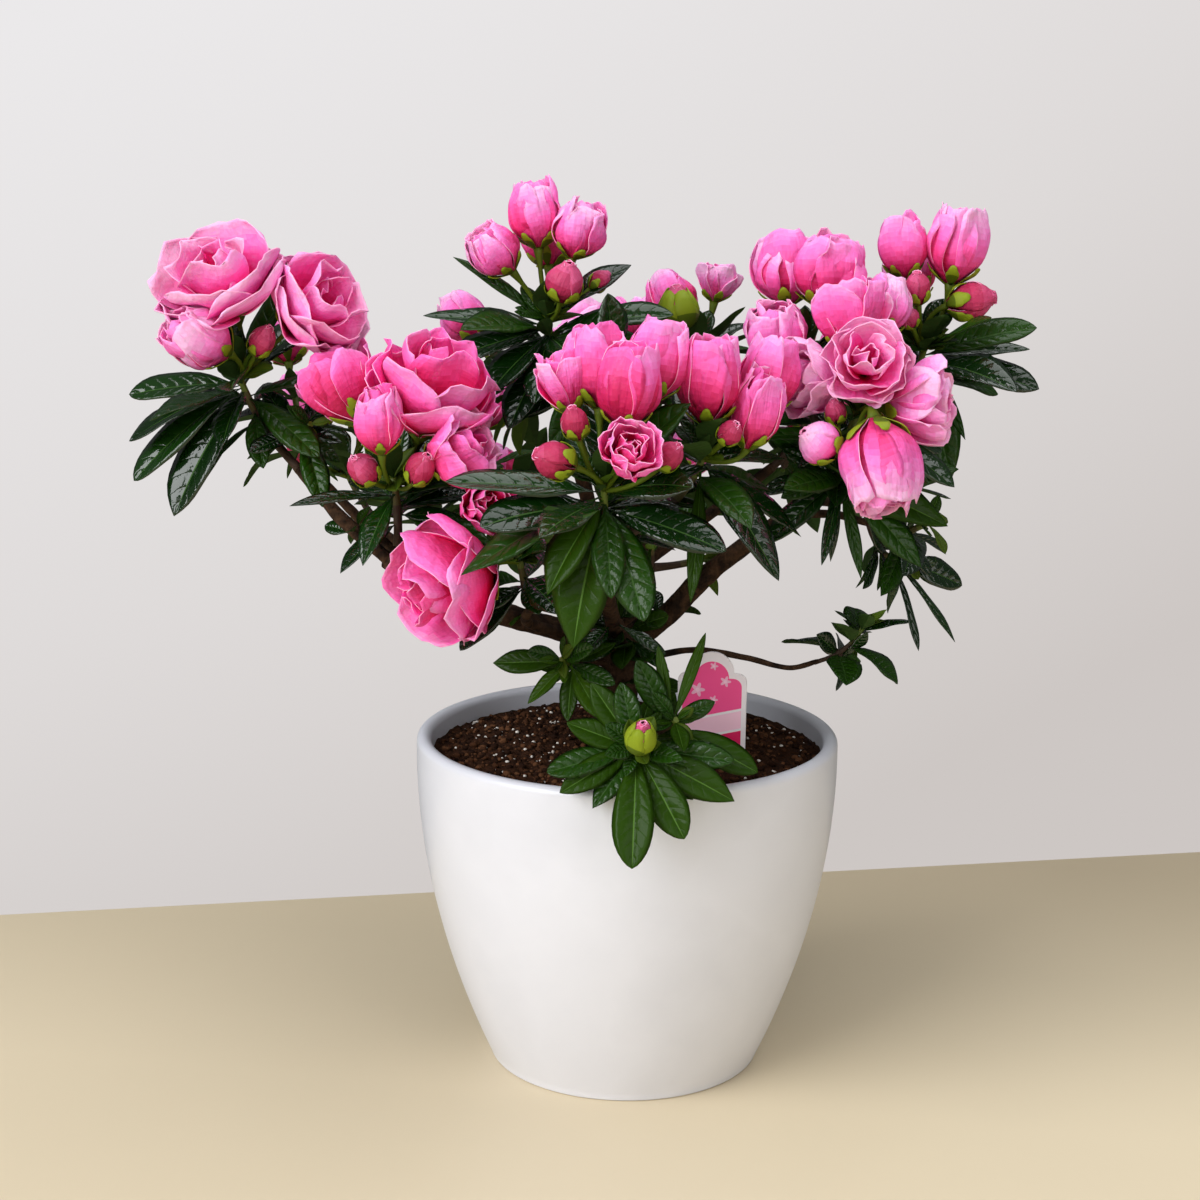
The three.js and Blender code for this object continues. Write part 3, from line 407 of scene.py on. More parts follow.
def spline(controls, v):
    """A smooth curve through evenly spaced control points, for v from 0 to 1."""
    c = np.asarray(controls, float)
    c = np.vstack([2 * c[0] - c[1], c, 2 * c[-1] - c[-2]])
    x = np.clip(np.asarray(v, float), 0, 1) * (len(c) - 3)
    i = np.minimum(x.astype(int), len(c) - 4)
    t = (x - i)[..., None]
    a, b, p, q = c[i], c[i + 1], c[i + 2], c[i + 3]
    square, cube = 2 * a - 5 * b + 4 * p - q, 3 * b - a - 3 * p + q
    return 0.5 * (2 * b + (p - a) * t + square * t * t + cube * t ** 3)


# ---- leaves as the rule places them ----


def leaf_frame(base, axis, clock, angle, length, droop):
    """A leaf leaves `base` at an angle from the axis, its upper face towards the axis, and curves away."""
    right, up = dial(axis)
    clock, angle = radians(clock), radians(angle)
    outward = right * cos(clock) + up * sin(clock)
    forward = axis * cos(angle) + outward * sin(angle)
    face = axis * sin(angle) - outward * cos(angle)
    return Record(base=base, forward=forward, face=face, side=np.cross(forward, face), length=length,
                  bend=radians(droop))


def stem_leaf(stem, depth, *shape):
    """A leaf that leaves a stem `depth` below its tip, with this clock, angle, length and droop."""
    return leaf_frame(stem_at(stem, depth), stem.facing, *shape)


def leaf_point(leaf, t, across, lift):
    t, across, lift = (np.asarray(a, float)[..., None] for a in np.broadcast_arrays(t, across, lift))
    turn = leaf.bend * t
    run, fall = np.sin(turn) / leaf.bend, (1 - np.cos(turn)) / leaf.bend
    face = leaf.face * np.cos(turn) + leaf.forward * np.sin(turn)
    spine = leaf.base + (leaf.forward * run - leaf.face * fall) * leaf.length
    return spine + leaf.side * across + face * lift


def leaf_samples(leaf, start):
    steps = ceil(leaf.length / 1.8)
    t = np.arange(steps + 1) / steps
    t = t[t >= start][:, None]
    wide = LEAF_WIDTH * leaf.length / 2 * np.minimum(1, np.minimum(3 * t, 3.2 * (1 - t)))
    shares = np.array([-1, -0.67, -0.33, 0, 0.33, 0.67, 1])
    return leaf_point(leaf, t, wide * shares, 0).reshape(-1, 3)


def share_in_openings(points):
    """The share of these points that the camera sees in one of the openings."""
    level = np.array([0, sin(PITCH), cos(PITCH)])
    right = np.array([cos(ROLL), 0, 0]) + sin(ROLL) * level
    up = np.array([-sin(ROLL), 0, 0]) + cos(ROLL) * level
    away = (points - EYE) @ np.array([0, cos(PITCH), -sin(PITCH)])
    scale = FRAME * LENS / SENSOR / away
    x, y = FRAME / 2 + scale * ((points - EYE) @ right), FRAME / 2 - scale * ((points - EYE) @ up)
    inside = [((x - a) / wide) ** 2 + ((y - b) / high) ** 2 < 1 for a, b, wide, high in OPENINGS]
    return np.any(inside, axis=0).mean()


def drawn_width(leaf):
    """How wide a leaf is drawn, as a share: narrow where it crosses an opening, 0 where it fills one."""
    share = share_in_openings(leaf_samples(leaf, 0.2))
    return 0 if share >= LEFT_OUT else NARROW if share > NARROWED else 1


# The space that each kind of bloom takes: its width as a share of the widest, up to a share of its length.
BLOOM_RINGS = dict(
    bud=[(0.36, 0.08), (0.94, 0.36), (0.9, 0.7)],
    green=[(0.36, 0.08), (0.94, 0.36), (0.9, 0.7)],
    fat=[(0.3, 0.06), (0.9, 0.3), (1, 0.62), (0.62, 0.95)],
    cup=[(0.22, 0.05), (0.7, 0.34), (1, 0.8), (0.66, 0.98)],
    open=[(0.18, 0.04), (0.6, 0.32), (1, 0.7), (0.74, 0.93)],
)


def circle(centre, axis, radius, sides):
    right, up = dial(axis)
    turn = turns(sides)
    return centre + radius * (np.outer(np.cos(turn), right) + np.outer(np.sin(turn), up))


def bloom_samples(bloom):
    rings = BLOOM_RINGS[bloom.kind]
    points = []
    high = 0.0
    while high <= 1:
        wide = next((w for w, h in rings if h >= high), rings[-1][0])
        centre = bloom.foot + bloom.facing * high * bloom.length
        for share in (0.5, 1):
            points.append(circle(centre, bloom.facing, share * wide * bloom.width / 2, 12))
        high += 0.1
    return np.vstack(points)


class Space:
    """The cells of space that limbs, masses, blooms and leaves have taken."""

    def __init__(self):
        self.owners = {}
        self.blooms = set()
        self.leaves = set()

    def cells(self, points):
        return {tuple(c) for c in np.floor(np.asarray(points).reshape(-1, 3) / CELL).astype(int)}

    def claim(self, points, owner):
        for c in self.cells(points):
            self.owners[c] = owner

    def is_free(self, points, owner):
        """True where no other owner has a point's cell or one beside it."""
        near = (-1, 0, 1)
        return all(
            self.owners.get((i + a, j + b, k + c), owner) == owner
            for i, j, k in self.cells(points) for a in near for b in near for c in near
        )


def is_in_pot(points):
    """True inside the pot, and within a small distance of its wall, lip and soil."""
    reach = np.hypot(points[:, 0], points[:, 1]) < pot_radius(points[:, 2]) + WHORL.pot_gap
    return bool(np.any(reach & (points[:, 2] < POT.height + WHORL.pot_gap)))


def try_leaf(space, grown, leaf, passes_leaves, **looks):
    """Keeps a leaf that stays in its mass's space, clear of blooms and, unless it passes them, of leaves."""
    samples = leaf_samples(leaf, 0)
    outer = space.cells(leaf_samples(leaf, 0.3))
    if is_in_pot(samples) or not space.is_free(samples, grown.owner):
        return False
    if outer & space.blooms or (not passes_leaves and outer & space.leaves):
        return False
    space.claim(samples, grown.owner)
    space.leaves |= outer
    grown.leaves.append(Record(leaf, **looks))
    return True


def try_round(space, grown, stem, depth, clock, step, *shape):
    """Tries a leaf at one clock after another, until one fits."""
    for again in range(WHORL.tries):
        if try_leaf(space, grown, stem_leaf(stem, depth, clock + step * again, *shape), False):
            break


def make_bloom(stem, entry):
    kind, bearing, lean, reach, width, length, face_bearing, face_lean = entry
    facing = aim(face_bearing, face_lean)
    centre = stem.tip + aim(bearing, lean) * reach
    return Record(kind=kind, facing=facing, foot=centre - facing * length / 2, width=width, length=length,
                  stem=stem)


def grow_limbs(space):
    by_name = {}
    for branch in LIMBS:
        path = [np.array(p, float) for p in branch.path]
        if branch.parent:
            parent, share = branch.parent
            path.insert(0, limb_point(by_name[parent].points, share))
        branch.points = path
        by_name[branch.name] = branch
        steps = ceil(length_of(limb_points(branch, 200)) / 2)
        centres = limb_points(branch, steps)
        ways = np.gradient(centres, axis=0)
        for i, (centre, way) in enumerate(zip(centres, ways)):
            space.claim(centre, 0)
            space.claim(circle(centre, unit(way), limb_radius(branch, i / steps), 8), 0)
    return by_name


def grow_stems(space, limbs):
    """Every stem and bloom of every mass, before any leaf."""
    for owner, grown in enumerate(MASSES, 1):
        grown.update(owner=owner, draw=seeded("whorls", owner), leaves=[], blooms=[])
        main = grown.shoots[0]
        for i, stem in enumerate(grown.shoots):
            stem.facing = aim(*stem.axis)
            stem.start = (
                limb_point(limbs[grown.limb].points, 1) if i == 0
                else stem_point(main.start, main.tip, main.facing, STEM.branch_at)
            )
            shares = np.cumsum([0] + [0.1] * 9)
            space.claim(stem_point(stem.start, stem.tip, stem.facing, shares), owner)
            for entry in stem.blooms:
                bloom = make_bloom(stem, entry)
                grown.blooms.append(bloom)
                samples = bloom_samples(bloom)
                space.claim(samples, owner)
                space.blooms |= space.cells(samples)


def grow_leaves(space):
    """The leading leaves of every mass, then the rest of its whorls, as the CAD solids have them."""
    for grown in MASSES:
        for stem in grown.shoots:
            for i, shape in enumerate(stem.leading):
                try_leaf(space, grown, stem_leaf(stem, 4 + 0.8 * i, *shape), True)
    for grown in MASSES:
        draw = grown.draw
        for stem in grown.shoots:
            turn = 360 * draw()
            for i in range(stem.leaves):
                low = i / (stem.leaves - 1) if stem.leaves > 1 else 1
                clock = turn + GOLDEN_ANGLE * i + WHORL.unevenness * (draw() - 0.5)
                angle = WHORL.steepest + (WHORL.flattest - WHORL.steepest) * low
                angle += WHORL.unevenness * (draw() - 0.5)
                fullness = 0.72 + 0.28 * sin(pi * (0.2 + 0.6 * low))
                length = stem.length * fullness * (0.88 + 0.2 * draw())
                droop = WHORL.droop[0] + (WHORL.droop[1] - WHORL.droop[0]) * draw()
                depth = WHORL.depth[0] + (WHORL.depth[1] - WHORL.depth[0]) * low
                try_round(space, grown, stem, depth, clock, WHORL.next_try, angle, length, droop)


def grow_finer(space):
    """Short young leaves round each tip and smaller leaves further down each stem, within the same space."""
    for grown in MASSES:
        draw = seeded("finer", grown.owner)
        for stem in grown.shoots:
            stem_length = np.linalg.norm(stem.tip - stem.start)
            for i in range(FINER.young):
                length = stem.length * (0.3 + 0.16 * draw())
                clock = GOLDEN_ANGLE * i + 360 * draw()
                leaf = stem_leaf(stem, 1 + 0.6 * i, clock, 28 + 40 * draw(), length, 8 + 22 * draw())
                try_leaf(space, grown, leaf, True, young=True)
            for i in range(0 if grown.name == "low_right" else FINER.small):
                depth = 10 + (stem_length - 14) * (i + 0.5) / FINER.small
                length = stem.length * (0.5 + 0.3 * draw())
                clock, angle, droop = GOLDEN_ANGLE * i + 30 * draw(), 60 + 45 * draw(), 10 + 30 * draw()
                try_round(space, grown, stem, depth, clock, FINER.next_try, angle, length, droop)


def grow_spurs(limbs):
    """The leaves of the short shoots straight on the limbs, which stand out and up all round them."""
    leaves = []
    for number, (name, share, count, length) in enumerate(SPURS, 1):
        draw = seeded("spurs", number)
        points = limbs[name].points
        way = unit(limb_point(points, min(1, share + 0.02)) - limb_point(points, share - 0.02))
        turn = 360 * draw()
        for i in range(count):
            clock = turn + GOLDEN_ANGLE * i
            side = leaf_frame(limb_point(points, share), way, clock, 90, 1, 1).forward
            base = limb_point(points, share) + side * 0.7 * limb_radius(limbs[name], share)
            leaf = leaf_frame(base, unit(way + np.array([0, -0.2, 0.5])), clock, 48 + 40 * draw(),
                              length * (0.7 + 0.4 * draw()), 12 + 26 * draw())
            if not is_in_pot(leaf_samples(leaf, 0)):
                leaves.append(leaf)
    return leaves


# ---- meshes ----


def grid_faces(rows, columns, around=False):
    """Faces that join rows of points, and each row's end to its start if the rows go around."""
    i = np.arange(rows - 1)[:, None] * columns
    j = np.arange(columns if around else columns - 1)[None, :]
    k = (j + 1) % columns
    return np.stack([i + j, i + k, i + columns + k, i + columns + j], -1).reshape(-1, 4)


class Heap:
    """The points and faces of one piece as they are added, in millimetres."""

    def __init__(self):
        self.points, self.uvs, self.faces = [], [], []
        self.count = 0

    def add(self, points, patches, uv=None):
        """Adds points and patches of faces on them: (faces of one size, material of each or all, is flat)."""
        points = np.asarray(points, float).reshape(-1, 3)
        self.points.append(points)
        self.uvs.append(np.zeros((len(points), 2)) if uv is None else uv.reshape(-1, 2))
        for faces, tone, flat in patches:
            faces = np.atleast_2d(faces)
            self.faces.append((faces + self.count, np.broadcast_to(tone, len(faces)), flat))
        self.count += len(points)


def make_piece(name, heap, materials, nodes):
    """A mesh object of the heap, which takes the place of these CAD nodes."""
    mesh = bpy.data.meshes.new(name)
    points = np.vstack(heap.points) * MM
    mesh.vertices.add(len(points))
    mesh.vertices.foreach_set("co", points.ravel())
    corners = np.concatenate([faces.ravel() for faces, _, _ in heap.faces])
    sizes = np.concatenate([np.full(len(faces), faces.shape[1]) for faces, _, _ in heap.faces])
    tones = np.concatenate([tone for _, tone, _ in heap.faces])
    flats = np.concatenate([np.full(len(faces), flat) for faces, _, flat in heap.faces])
    mesh.loops.add(len(corners))
    mesh.loops.foreach_set("vertex_index", corners)
    mesh.polygons.add(len(sizes))
    mesh.polygons.foreach_set("loop_start", np.cumsum(sizes) - sizes)
    for one in materials:
        mesh.materials.append(one)
    mesh.polygons.foreach_set("material_index", tones)
    mesh.attributes.new("sharp_face", "BOOLEAN", "FACE").data.foreach_set("value", flats)
    uv = mesh.uv_layers.new(name="leaf_uv")
    uv.data.foreach_set("uv", np.vstack(heap.uvs)[corners].ravel())
    mesh.update(calc_edges=True)
    mesh.validate()
    piece = bpy.data.objects.new(name, mesh)
    bpy.context.scene.collection.objects.link(piece)
    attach(piece, "root")
    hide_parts(*nodes)


def path_rings(centres, radii, sides):
    """Rings of points round a path that don't twist along it, with a radius for each ring or each point."""
    ways = np.gradient(centres, axis=0)
    ways /= np.linalg.norm(ways, axis=1)[:, None]
    right = dial(ways[0])[0]
    turn = turns(sides)
    radii = np.broadcast_to(np.asarray(radii, float).reshape(len(centres), -1), (len(centres), sides))
    rings = []
    for centre, way, radius in zip(centres, ways, radii):
        right = unit(right - way * (right @ way))
        up = np.cross(way, right)
        ring = np.outer(np.cos(turn) * radius, right) + np.outer(np.sin(turn) * radius, up)
        rings.append(centre + ring)
    return np.array(rings)


def add_tube(heap, rings, tone, flat_sides=False, flat_ends=True):
    """A closed tube through rings of points. Tone is one material or one for each step along it."""
    rows, sides = rings.shape[:2]
    tone = np.repeat(np.broadcast_to(tone, rows - 1), sides)
    ends = np.array([np.arange(sides)[::-1], np.arange(sides) + (rows - 1) * sides])
    heap.add(rings, [(grid_faces(rows, sides, True), tone, flat_sides), (ends, tone[[0, -1]], flat_ends)])


# ---- leaves ----

LEAF_TONES = dict(deep=0, dark=1, mid=2, fresh=3, bright=4, bract=5, rib=6, pale_rib=7, under=8, pale_under=9)
LEAF_ROWS = np.array([
    0, 0.03, 0.075, 0.12, 0.19, 0.28, 0.38, 0.48, 0.58, 0.67, 0.75, 0.82, 0.885, 0.94, 0.975, 1,
])
LEAF_COLUMNS = np.array([-1, -0.7, -0.4, -0.16, -0.035, 0.035, 0.16, 0.4, 0.7, 1])
PETIOLE = 0.075  # share of a leaf's length
LEAF_THICKNESS = 0.4
LIGHT = unit(np.array([-0.4, -0.75, 0.5]))  # leaves roll about their midribs to face it
MOST_ROLL = 0.8


def leaf_patches():
    """The faces of a leaf: its upper side and which of them are the midrib, its underside and its ends."""
    rows, columns = len(LEAF_ROWS), len(LEAF_COLUMNS)
    upper = grid_faces(rows, columns)
    is_rib = upper[:, 0] % columns == columns // 2 - 1
    i = np.arange(rows - 1)
    left, right, middle = i * columns, i * columns + columns - 1, rows * columns + i
    under = np.vstack([
        np.stack([left, left + columns, middle + 1, middle], -1),
        np.stack([middle, middle + 1, right + columns, right], -1),
    ])
    first = np.append(np.arange(columns), rows * columns)[::-1]
    last = np.append(np.arange(columns) + (rows - 1) * columns, rows * columns + rows - 1)
    return upper, is_rib, under, np.array([first, last])


LEAF_PATCHES = leaf_patches()


def add_leaf(heap, leaf, tone, draw, width=1.0):
    """A thin closed leaf on the rule's curve: a stalk, a blade folded up along its midrib, a wavy margin."""
    rows, columns = LEAF_ROWS[:, None], LEAF_COLUMNS[None, :]
    blade = np.clip((LEAF_ROWS - PETIOLE) / (1 - PETIOLE), 0, 1)
    rise, fall = 0.9 + 0.25 * draw(), 0.68 + 0.34 * draw()
    width = width * (0.84 + 0.36 * draw())
    most = (rise / (rise + fall)) ** rise * (fall / (rise + fall)) ** fall
    half = width * LEAF_WIDTH * leaf.length / 2 * blade ** rise * (1 - blade) ** fall / most
    half = np.maximum(half, np.interp(LEAF_ROWS, [0, PETIOLE, 0.9, 1], [0.6, 0.45, 0.3, 0.06]))[:, None]
    out = np.abs(columns)
    lift = (0.12 + 0.36 * draw()) * half * out * (1 - 0.5 * out ** 2)
    wave = 0.06 + 0.08 * draw()
    lift = lift + wave * half * out ** 2 * np.sin(2 * pi * (1.6 * rows + draw()) + 2 * columns)
    lift = lift + (0.5 * draw() - 0.25) * rows * columns * half
    lift = np.where(out < 0.1, lift - 0.25 * np.minimum(1, half / 2), lift)
    roll = atan2(-LIGHT @ leaf.side, LIGHT @ leaf.face)
    roll = (0.1 + 0.5 * draw()) * max(-MOST_ROLL, min(MOST_ROLL, roll)) * np.minimum(1, rows / 0.2)
    level, tilt = np.cos(roll), np.sin(roll)
    upper = leaf_point(leaf, rows, columns * half * level - lift * tilt, columns * half * tilt + lift * level)
    below = lift[:, 4:5] - LEAF_THICKNESS * np.minimum(1, half / 1.5)
    middle = leaf_point(leaf, rows, -below * tilt, below * level)[:, 0]
    faces, is_rib, under, ends = LEAF_PATCHES
    is_pale = tone in ("fresh", "bright", "bract")
    rib = LEAF_TONES["pale_rib" if is_pale else "rib"]
    below = LEAF_TONES["pale_under" if is_pale else "under"]
    uv = np.stack(np.broadcast_arrays(columns, rows), -1).reshape(-1, 2)
    uv = np.vstack([uv, np.stack([np.zeros(len(LEAF_ROWS)), LEAF_ROWS], -1)])
    heap.add(np.vstack([upper.reshape(-1, 3), middle]), [
        (faces, np.where(is_rib, rib, LEAF_TONES[tone]), False),
        (under, below, True),
        (ends, below, True),
    ], uv)


def leaf_tone(grown, leaf, draw):
    """Each leaf's green, dealt out by where it grows: fresh and bright low down, dark in the crown."""
    roll = draw()
    if grown.name in ("low_front", "low_left", "inner_low"):
        return ("bright", "fresh", "fresh", "mid", "mid")[int(roll * 5)]
    if leaf.get("young"):
        return ("fresh", "mid", "dark")[int(roll * 3)]
    return ("deep", "deep", "dark", "mid", "mid", "fresh")[int(roll * 5.25)]


# ---- blooms ----

OUTER_TONES, INNER_TONES = 18, 14  # tones from the foot of a petal to its tip, on its outer and inner side; the deep foot is partly the petal's own colour, partly painted shade
BUD_TONES = 5
SEPAL, STALK, MARGIN, BUD = (OUTER_TONES + INNER_TONES + i for i in (0, 2, 3, 4))
PETAL_THICKNESS = 0.24
PINK_BUD_WIDTH = 12.5  # a bud this wide or wider has the colours of a bloom

# Each layer of petals, from the outside in: how many, half their width as a share of the bloom's radius, and
# the line that they follow from the foot, as (distance from the axis in radii, height in lengths).
LAYERS = dict(
    open=[
        (5, 0.94, [(0.10, 0), (0.58, 0.17), (0.98, 0.38), (1.09, 0.58)]),
        (4, 0.90, [(0.10, 0.03), (0.50, 0.29), (0.82, 0.60), (0.92, 0.86)]),
        (3, 0.66, [(0.08, 0.06), (0.34, 0.40), (0.50, 0.72), (0.54, 0.98)]),
        (3, 0.38, [(0.05, 0.12), (0.18, 0.45), (0.26, 0.72), (0.20, 0.92)]),
    ],
    cup=[
        (5, 0.80, [(0.12, 0), (0.66, 0.28), (0.98, 0.60), (1.06, 0.90)]),
        (4, 0.78, [(0.10, 0.03), (0.56, 0.34), (0.80, 0.66), (0.78, 0.97)]),
        (4, 0.60, [(0.08, 0.06), (0.40, 0.40), (0.52, 0.70), (0.46, 0.98)]),
        (3, 0.42, [(0.05, 0.10), (0.20, 0.45), (0.28, 0.70), (0.16, 0.93)]),
    ],
    fat=[
        (3, 1.15, [(0.22, 0), (0.93, 0.28), (1.02, 0.62), (0.74, 0.97)]),
        (3, 1.05, [(0.20, 0.03), (0.86, 0.31), (0.90, 0.66), (0.60, 1.0)]),
        (3, 0.75, [(0.15, 0.10), (0.62, 0.40), (0.64, 0.70), (0.36, 0.98)]),
        (2, 0.50, [(0.10, 0.20), (0.30, 0.50), (0.30, 0.72), (0.06, 0.92)]),
    ],
    bud=[
        (3, 1.20, [(0.30, 0), (0.95, 0.32), (0.92, 0.68), (0.16, 1.0)]),
        (2, 1.10, [(0.20, 0.10), (0.68, 0.40), (0.62, 0.70), (0.02, 0.96)]),
    ],
    green=[
        (3, 1.10, [(0.30, 0), (0.88, 0.34), (0.80, 0.68), (0.20, 1.0)]),
        (2, 1.00, [(0.20, 0.10), (0.70, 0.40), (0.60, 0.70), (0.01, 0.96)]),
    ],
)
# How much the petals of each kind ruffle, how loose and how wrinkled they are, and how pale.
HABITS = dict(open=(0.1, 1.1, 0.4, -0.04), cup=(0.08, 1, 0.55, -0.06), fat=(0.08, 0.9, 0.9, -0.06),
              bud=(0.01, 0.15, 0.1, -0.1), green=(0, 0, 0, 0))
SEPAL_COUNT = 5
SEPALS = dict(
    open=(0.20, [(0.10, -0.02), (0.32, 0.05), (0.50, 0.11), (0.62, 0.15)]),
    cup=(0.22, [(0.12, -0.02), (0.42, 0.08), (0.66, 0.18), (0.78, 0.27)]),
    fat=(0.24, [(0.22, -0.02), (0.56, 0.06), (0.82, 0.14), (0.96, 0.23)]),
    bud=(0.46, [(0.30, -0.02), (0.84, 0.12), (1.05, 0.28), (1.06, 0.46)]),
    green=(0.86, [(0.34, -0.02), (0.98, 0.24), (1.04, 0.56), (0.52, 0.92)]),
)
OUTLINE = [0.22, 0.52, 0.80, 0.96, 1.0, 0.96, 0.80]  # half width from foot to tip, as a share of the widest


def petal_grid(along, across):
    """The grid of a petal's outer side, its faces, and those of the rim between it and a like inner side."""
    rows, columns = len(along), len(across)
    start = rows * columns
    edge = np.concatenate([
        np.arange(columns - 1), np.arange(1, rows) * columns - 1,
        start - 1 - np.arange(columns - 1), (rows - 1 - np.arange(rows - 1)) * columns,
    ])
    after = np.roll(edge, -1)
    rim = np.stack([after, edge, edge + start, after + start], -1)
    v, u = np.array(along)[:, None], np.array(across)[None, :]
    return Record(v=v, u=u, faces=grid_faces(rows, columns), rim=rim)


FINE = petal_grid(
    [0, 0.07, 0.14, 0.21, 0.28, 0.35, 0.42, 0.49, 0.56, 0.63, 0.7, 0.77, 0.835, 0.895, 0.95, 1],
    [-1, -0.86, -0.64, -0.4, -0.14, 0.14, 0.4, 0.64, 0.86, 1],
)
COARSE = petal_grid([0, 0.14, 0.28, 0.42, 0.56, 0.7, 0.84, 1], [-1, -0.6, -0.2, 0.2, 0.6, 1])


def add_petal(heap, bloom, angle, width, line, look, draw):
    """A thin closed petal: its outer side, its inner side and the rim between them."""
    right, up = dial(bloom.facing)
    radius = bloom.width / 2
    v, u = look.grid.v, look.grid.u
    turned = angle + look.twist * v
    radial = right * np.cos(turned)[..., None] + up * np.sin(turned)[..., None]
    tangent = np.cross(bloom.facing, radial)
    reached = v - look.point * np.abs(u) ** 2.8 * v ** 2
    reached = reached + look.tip * v ** 5 * np.sin(pi * 2.6 * u + TURN * draw())
    followed = spline(line, reached)
    r, z = followed[..., 0] * radius * look.spread, followed[..., 1] * bloom.length * look.height
    half = width * radius * spline(np.array(OUTLINE)[:, None], v)[..., 0]
    curl = np.maximum(spline(line, v)[..., 0] * radius, 0.32 * radius) * look.flatness
    arc = np.clip(u * half / curl, -2, 2)
    across, inward = curl * np.sin(arc), curl * (1 - np.cos(arc))
    wave = look.ruffle * radius * v ** 2
    crease = look.crease * radius * v * (1.15 - v) * np.sin(pi * (1.7 * u + 0.8 * v) + TURN * draw())
    for share, a, b in ((0.6, -1.1, 2.3), (0.3, 3.6, 3.1)):
        fold = np.sin(pi * (a * u + b * v) + TURN * draw())
        crease = crease + share * look.crease * radius * v * fold
    r = r - inward + crease + wave * np.sin(pi * look.waves * u + TURN * draw())
    r = r + look.skew * radius * np.minimum(1, 1.6 * v) * u
    z = z + 0.6 * wave * np.sin(pi * look.waves * u + TURN * draw())
    grid = bloom.foot + z[..., None] * bloom.facing + r[..., None] * radial
    grid = grid + across[..., None] * tangent
    normals = np.cross(np.gradient(grid, axis=1), np.gradient(grid, axis=0))
    normals /= np.maximum(np.linalg.norm(normals, axis=-1), 1e-9)[..., None]
    outer, inner = grid + normals * PETAL_THICKNESS / 2, grid - normals * PETAL_THICKNESS / 2
    # The tone runs from deep at the foot to pale at the tip: partly the petal's own colour, partly painted
    # shade at the foot where petals overlap.
    tone_and_painted_shade = look.range * ((v[:-1] + v[1:]) / 2 - 0.5) + 0.5 + look.paleness
    tone_and_painted_shade = np.repeat(tone_and_painted_shade, u.size - 1)
    tone_and_painted_shade = np.clip(tone_and_painted_shade + [0.07 * draw() - 0.035 for _ in tone_and_painted_shade], 0, 0.999)
    outside, inside = look.tones
    faces = look.grid.faces
    uv = np.stack(np.broadcast_arrays(u + 20 * draw(), v + 20 * draw()), -1).reshape(-1, 2)
    heap.add(np.vstack([outer.reshape(-1, 3), inner.reshape(-1, 3)]), [
        (faces, outside[(tone_and_painted_shade * len(outside)).astype(int)], False),
        (faces[:, ::-1] + v.size * u.size, inside[(tone_and_painted_shade * len(inside)).astype(int)], False),
        (look.grid.rim, look.rim, True),
    ], np.vstack([uv, uv]))


def add_bloom(heap, bloom, paleness, draw):
    """A double bloom or a bud: its layers of petals, its sepals and its stalk."""
    kind = bloom.kind
    outside = np.arange(OUTER_TONES)
    inside = np.arange(INNER_TONES) + OUTER_TONES
    if kind == "green" or (kind == "bud" and bloom.width < PINK_BUD_WIDTH):
        outside = inside = np.arange(BUD_TONES) + BUD
    phase, hand = TURN * draw(), (-1 if draw() < 0.5 else 1)
    ruffle, loose, wrinkled, pale = HABITS[kind]
    pale = pale + 0.14 * draw() + paleness
    for depth, layer in enumerate(LAYERS[kind]):
        count, width, line = layer
        for i in range(count):
            look = Record(
                grid=COARSE if kind in ("fat", "bud", "green") and depth > 1 else FINE,
                point=0.1 + 0.12 * draw(),
                tip=0.07 * wrinkled * draw(),
                spread=1 + 0.16 * loose * (draw() - 0.5),
                height=1 + 0.18 * loose * (draw() - 0.6),
                flatness=1.02 + loose * (0.2 + 0.5 * draw()),
                ruffle=ruffle * (0.6 + 0.8 * draw()),
                waves=0.8 + 1.0 * draw(),
                crease=(0.12 + 0.16 * draw()) * wrinkled,
                range=0.8 + 0.1 * draw(),
                rim=MARGIN,
                skew=hand * (0.05 if kind == "open" else 0.07 + 0.05 * draw()),
                twist=hand * (0.1 + 0.12 * draw()),
                # Each layer further in takes deeper tones: painted shade inside the bloom.
                paleness=pale - 0.075 * depth + 0.3 * (draw() - 0.5),
                tones=(outside, inside),
            )
            uneven = 0.4 * loose * (draw() - 0.5)
            angle = phase + 2 * pi * (i + 0.5 * (depth % 2) + uneven) / count
            add_petal(heap, bloom, angle, width, line, look, draw)
    green = np.array([SEPAL, SEPAL + 1])
    width, line = SEPALS[kind]
    for turn in turns(SEPAL_COUNT):
        look = Record(
            grid=COARSE, point=0.3, tip=0, spread=1.03, height=1, flatness=1.0, ruffle=0.02, waves=1,
            crease=0, range=1, skew=0.03, twist=0, rim=SEPAL + 1, paleness=0.2 * (draw() - 0.5),
            tones=(green, green),
        )
        add_petal(heap, bloom, phase + 0.4 + turn, width, line, look, draw)
    stem = bloom.stem
    start, end = stem.tip - stem.facing * STEM.stalk_depth, bloom.foot + bloom.facing * 0.4
    along = np.linspace(0, 1, 9)
    neck = max(1.1, 0.12 * bloom.width)
    radii = np.interp(along, [0, 0.75, 1], [STEM.stalk, STEM.stalk, neck])
    add_tube(heap, path_rings(stem_point(start, end, bloom.facing, along), radii, 8), STALK)


# ---- limbs and stems ----


BARK_SIDES, BARK_STEP = 14, 1.4  # sides round a limb, twice as many round the trunk, and from ring to ring


def drawn_radius(branch, t):
    return limb_radius(branch, t) * THICKNESS[branch.name.split("_")[0]]


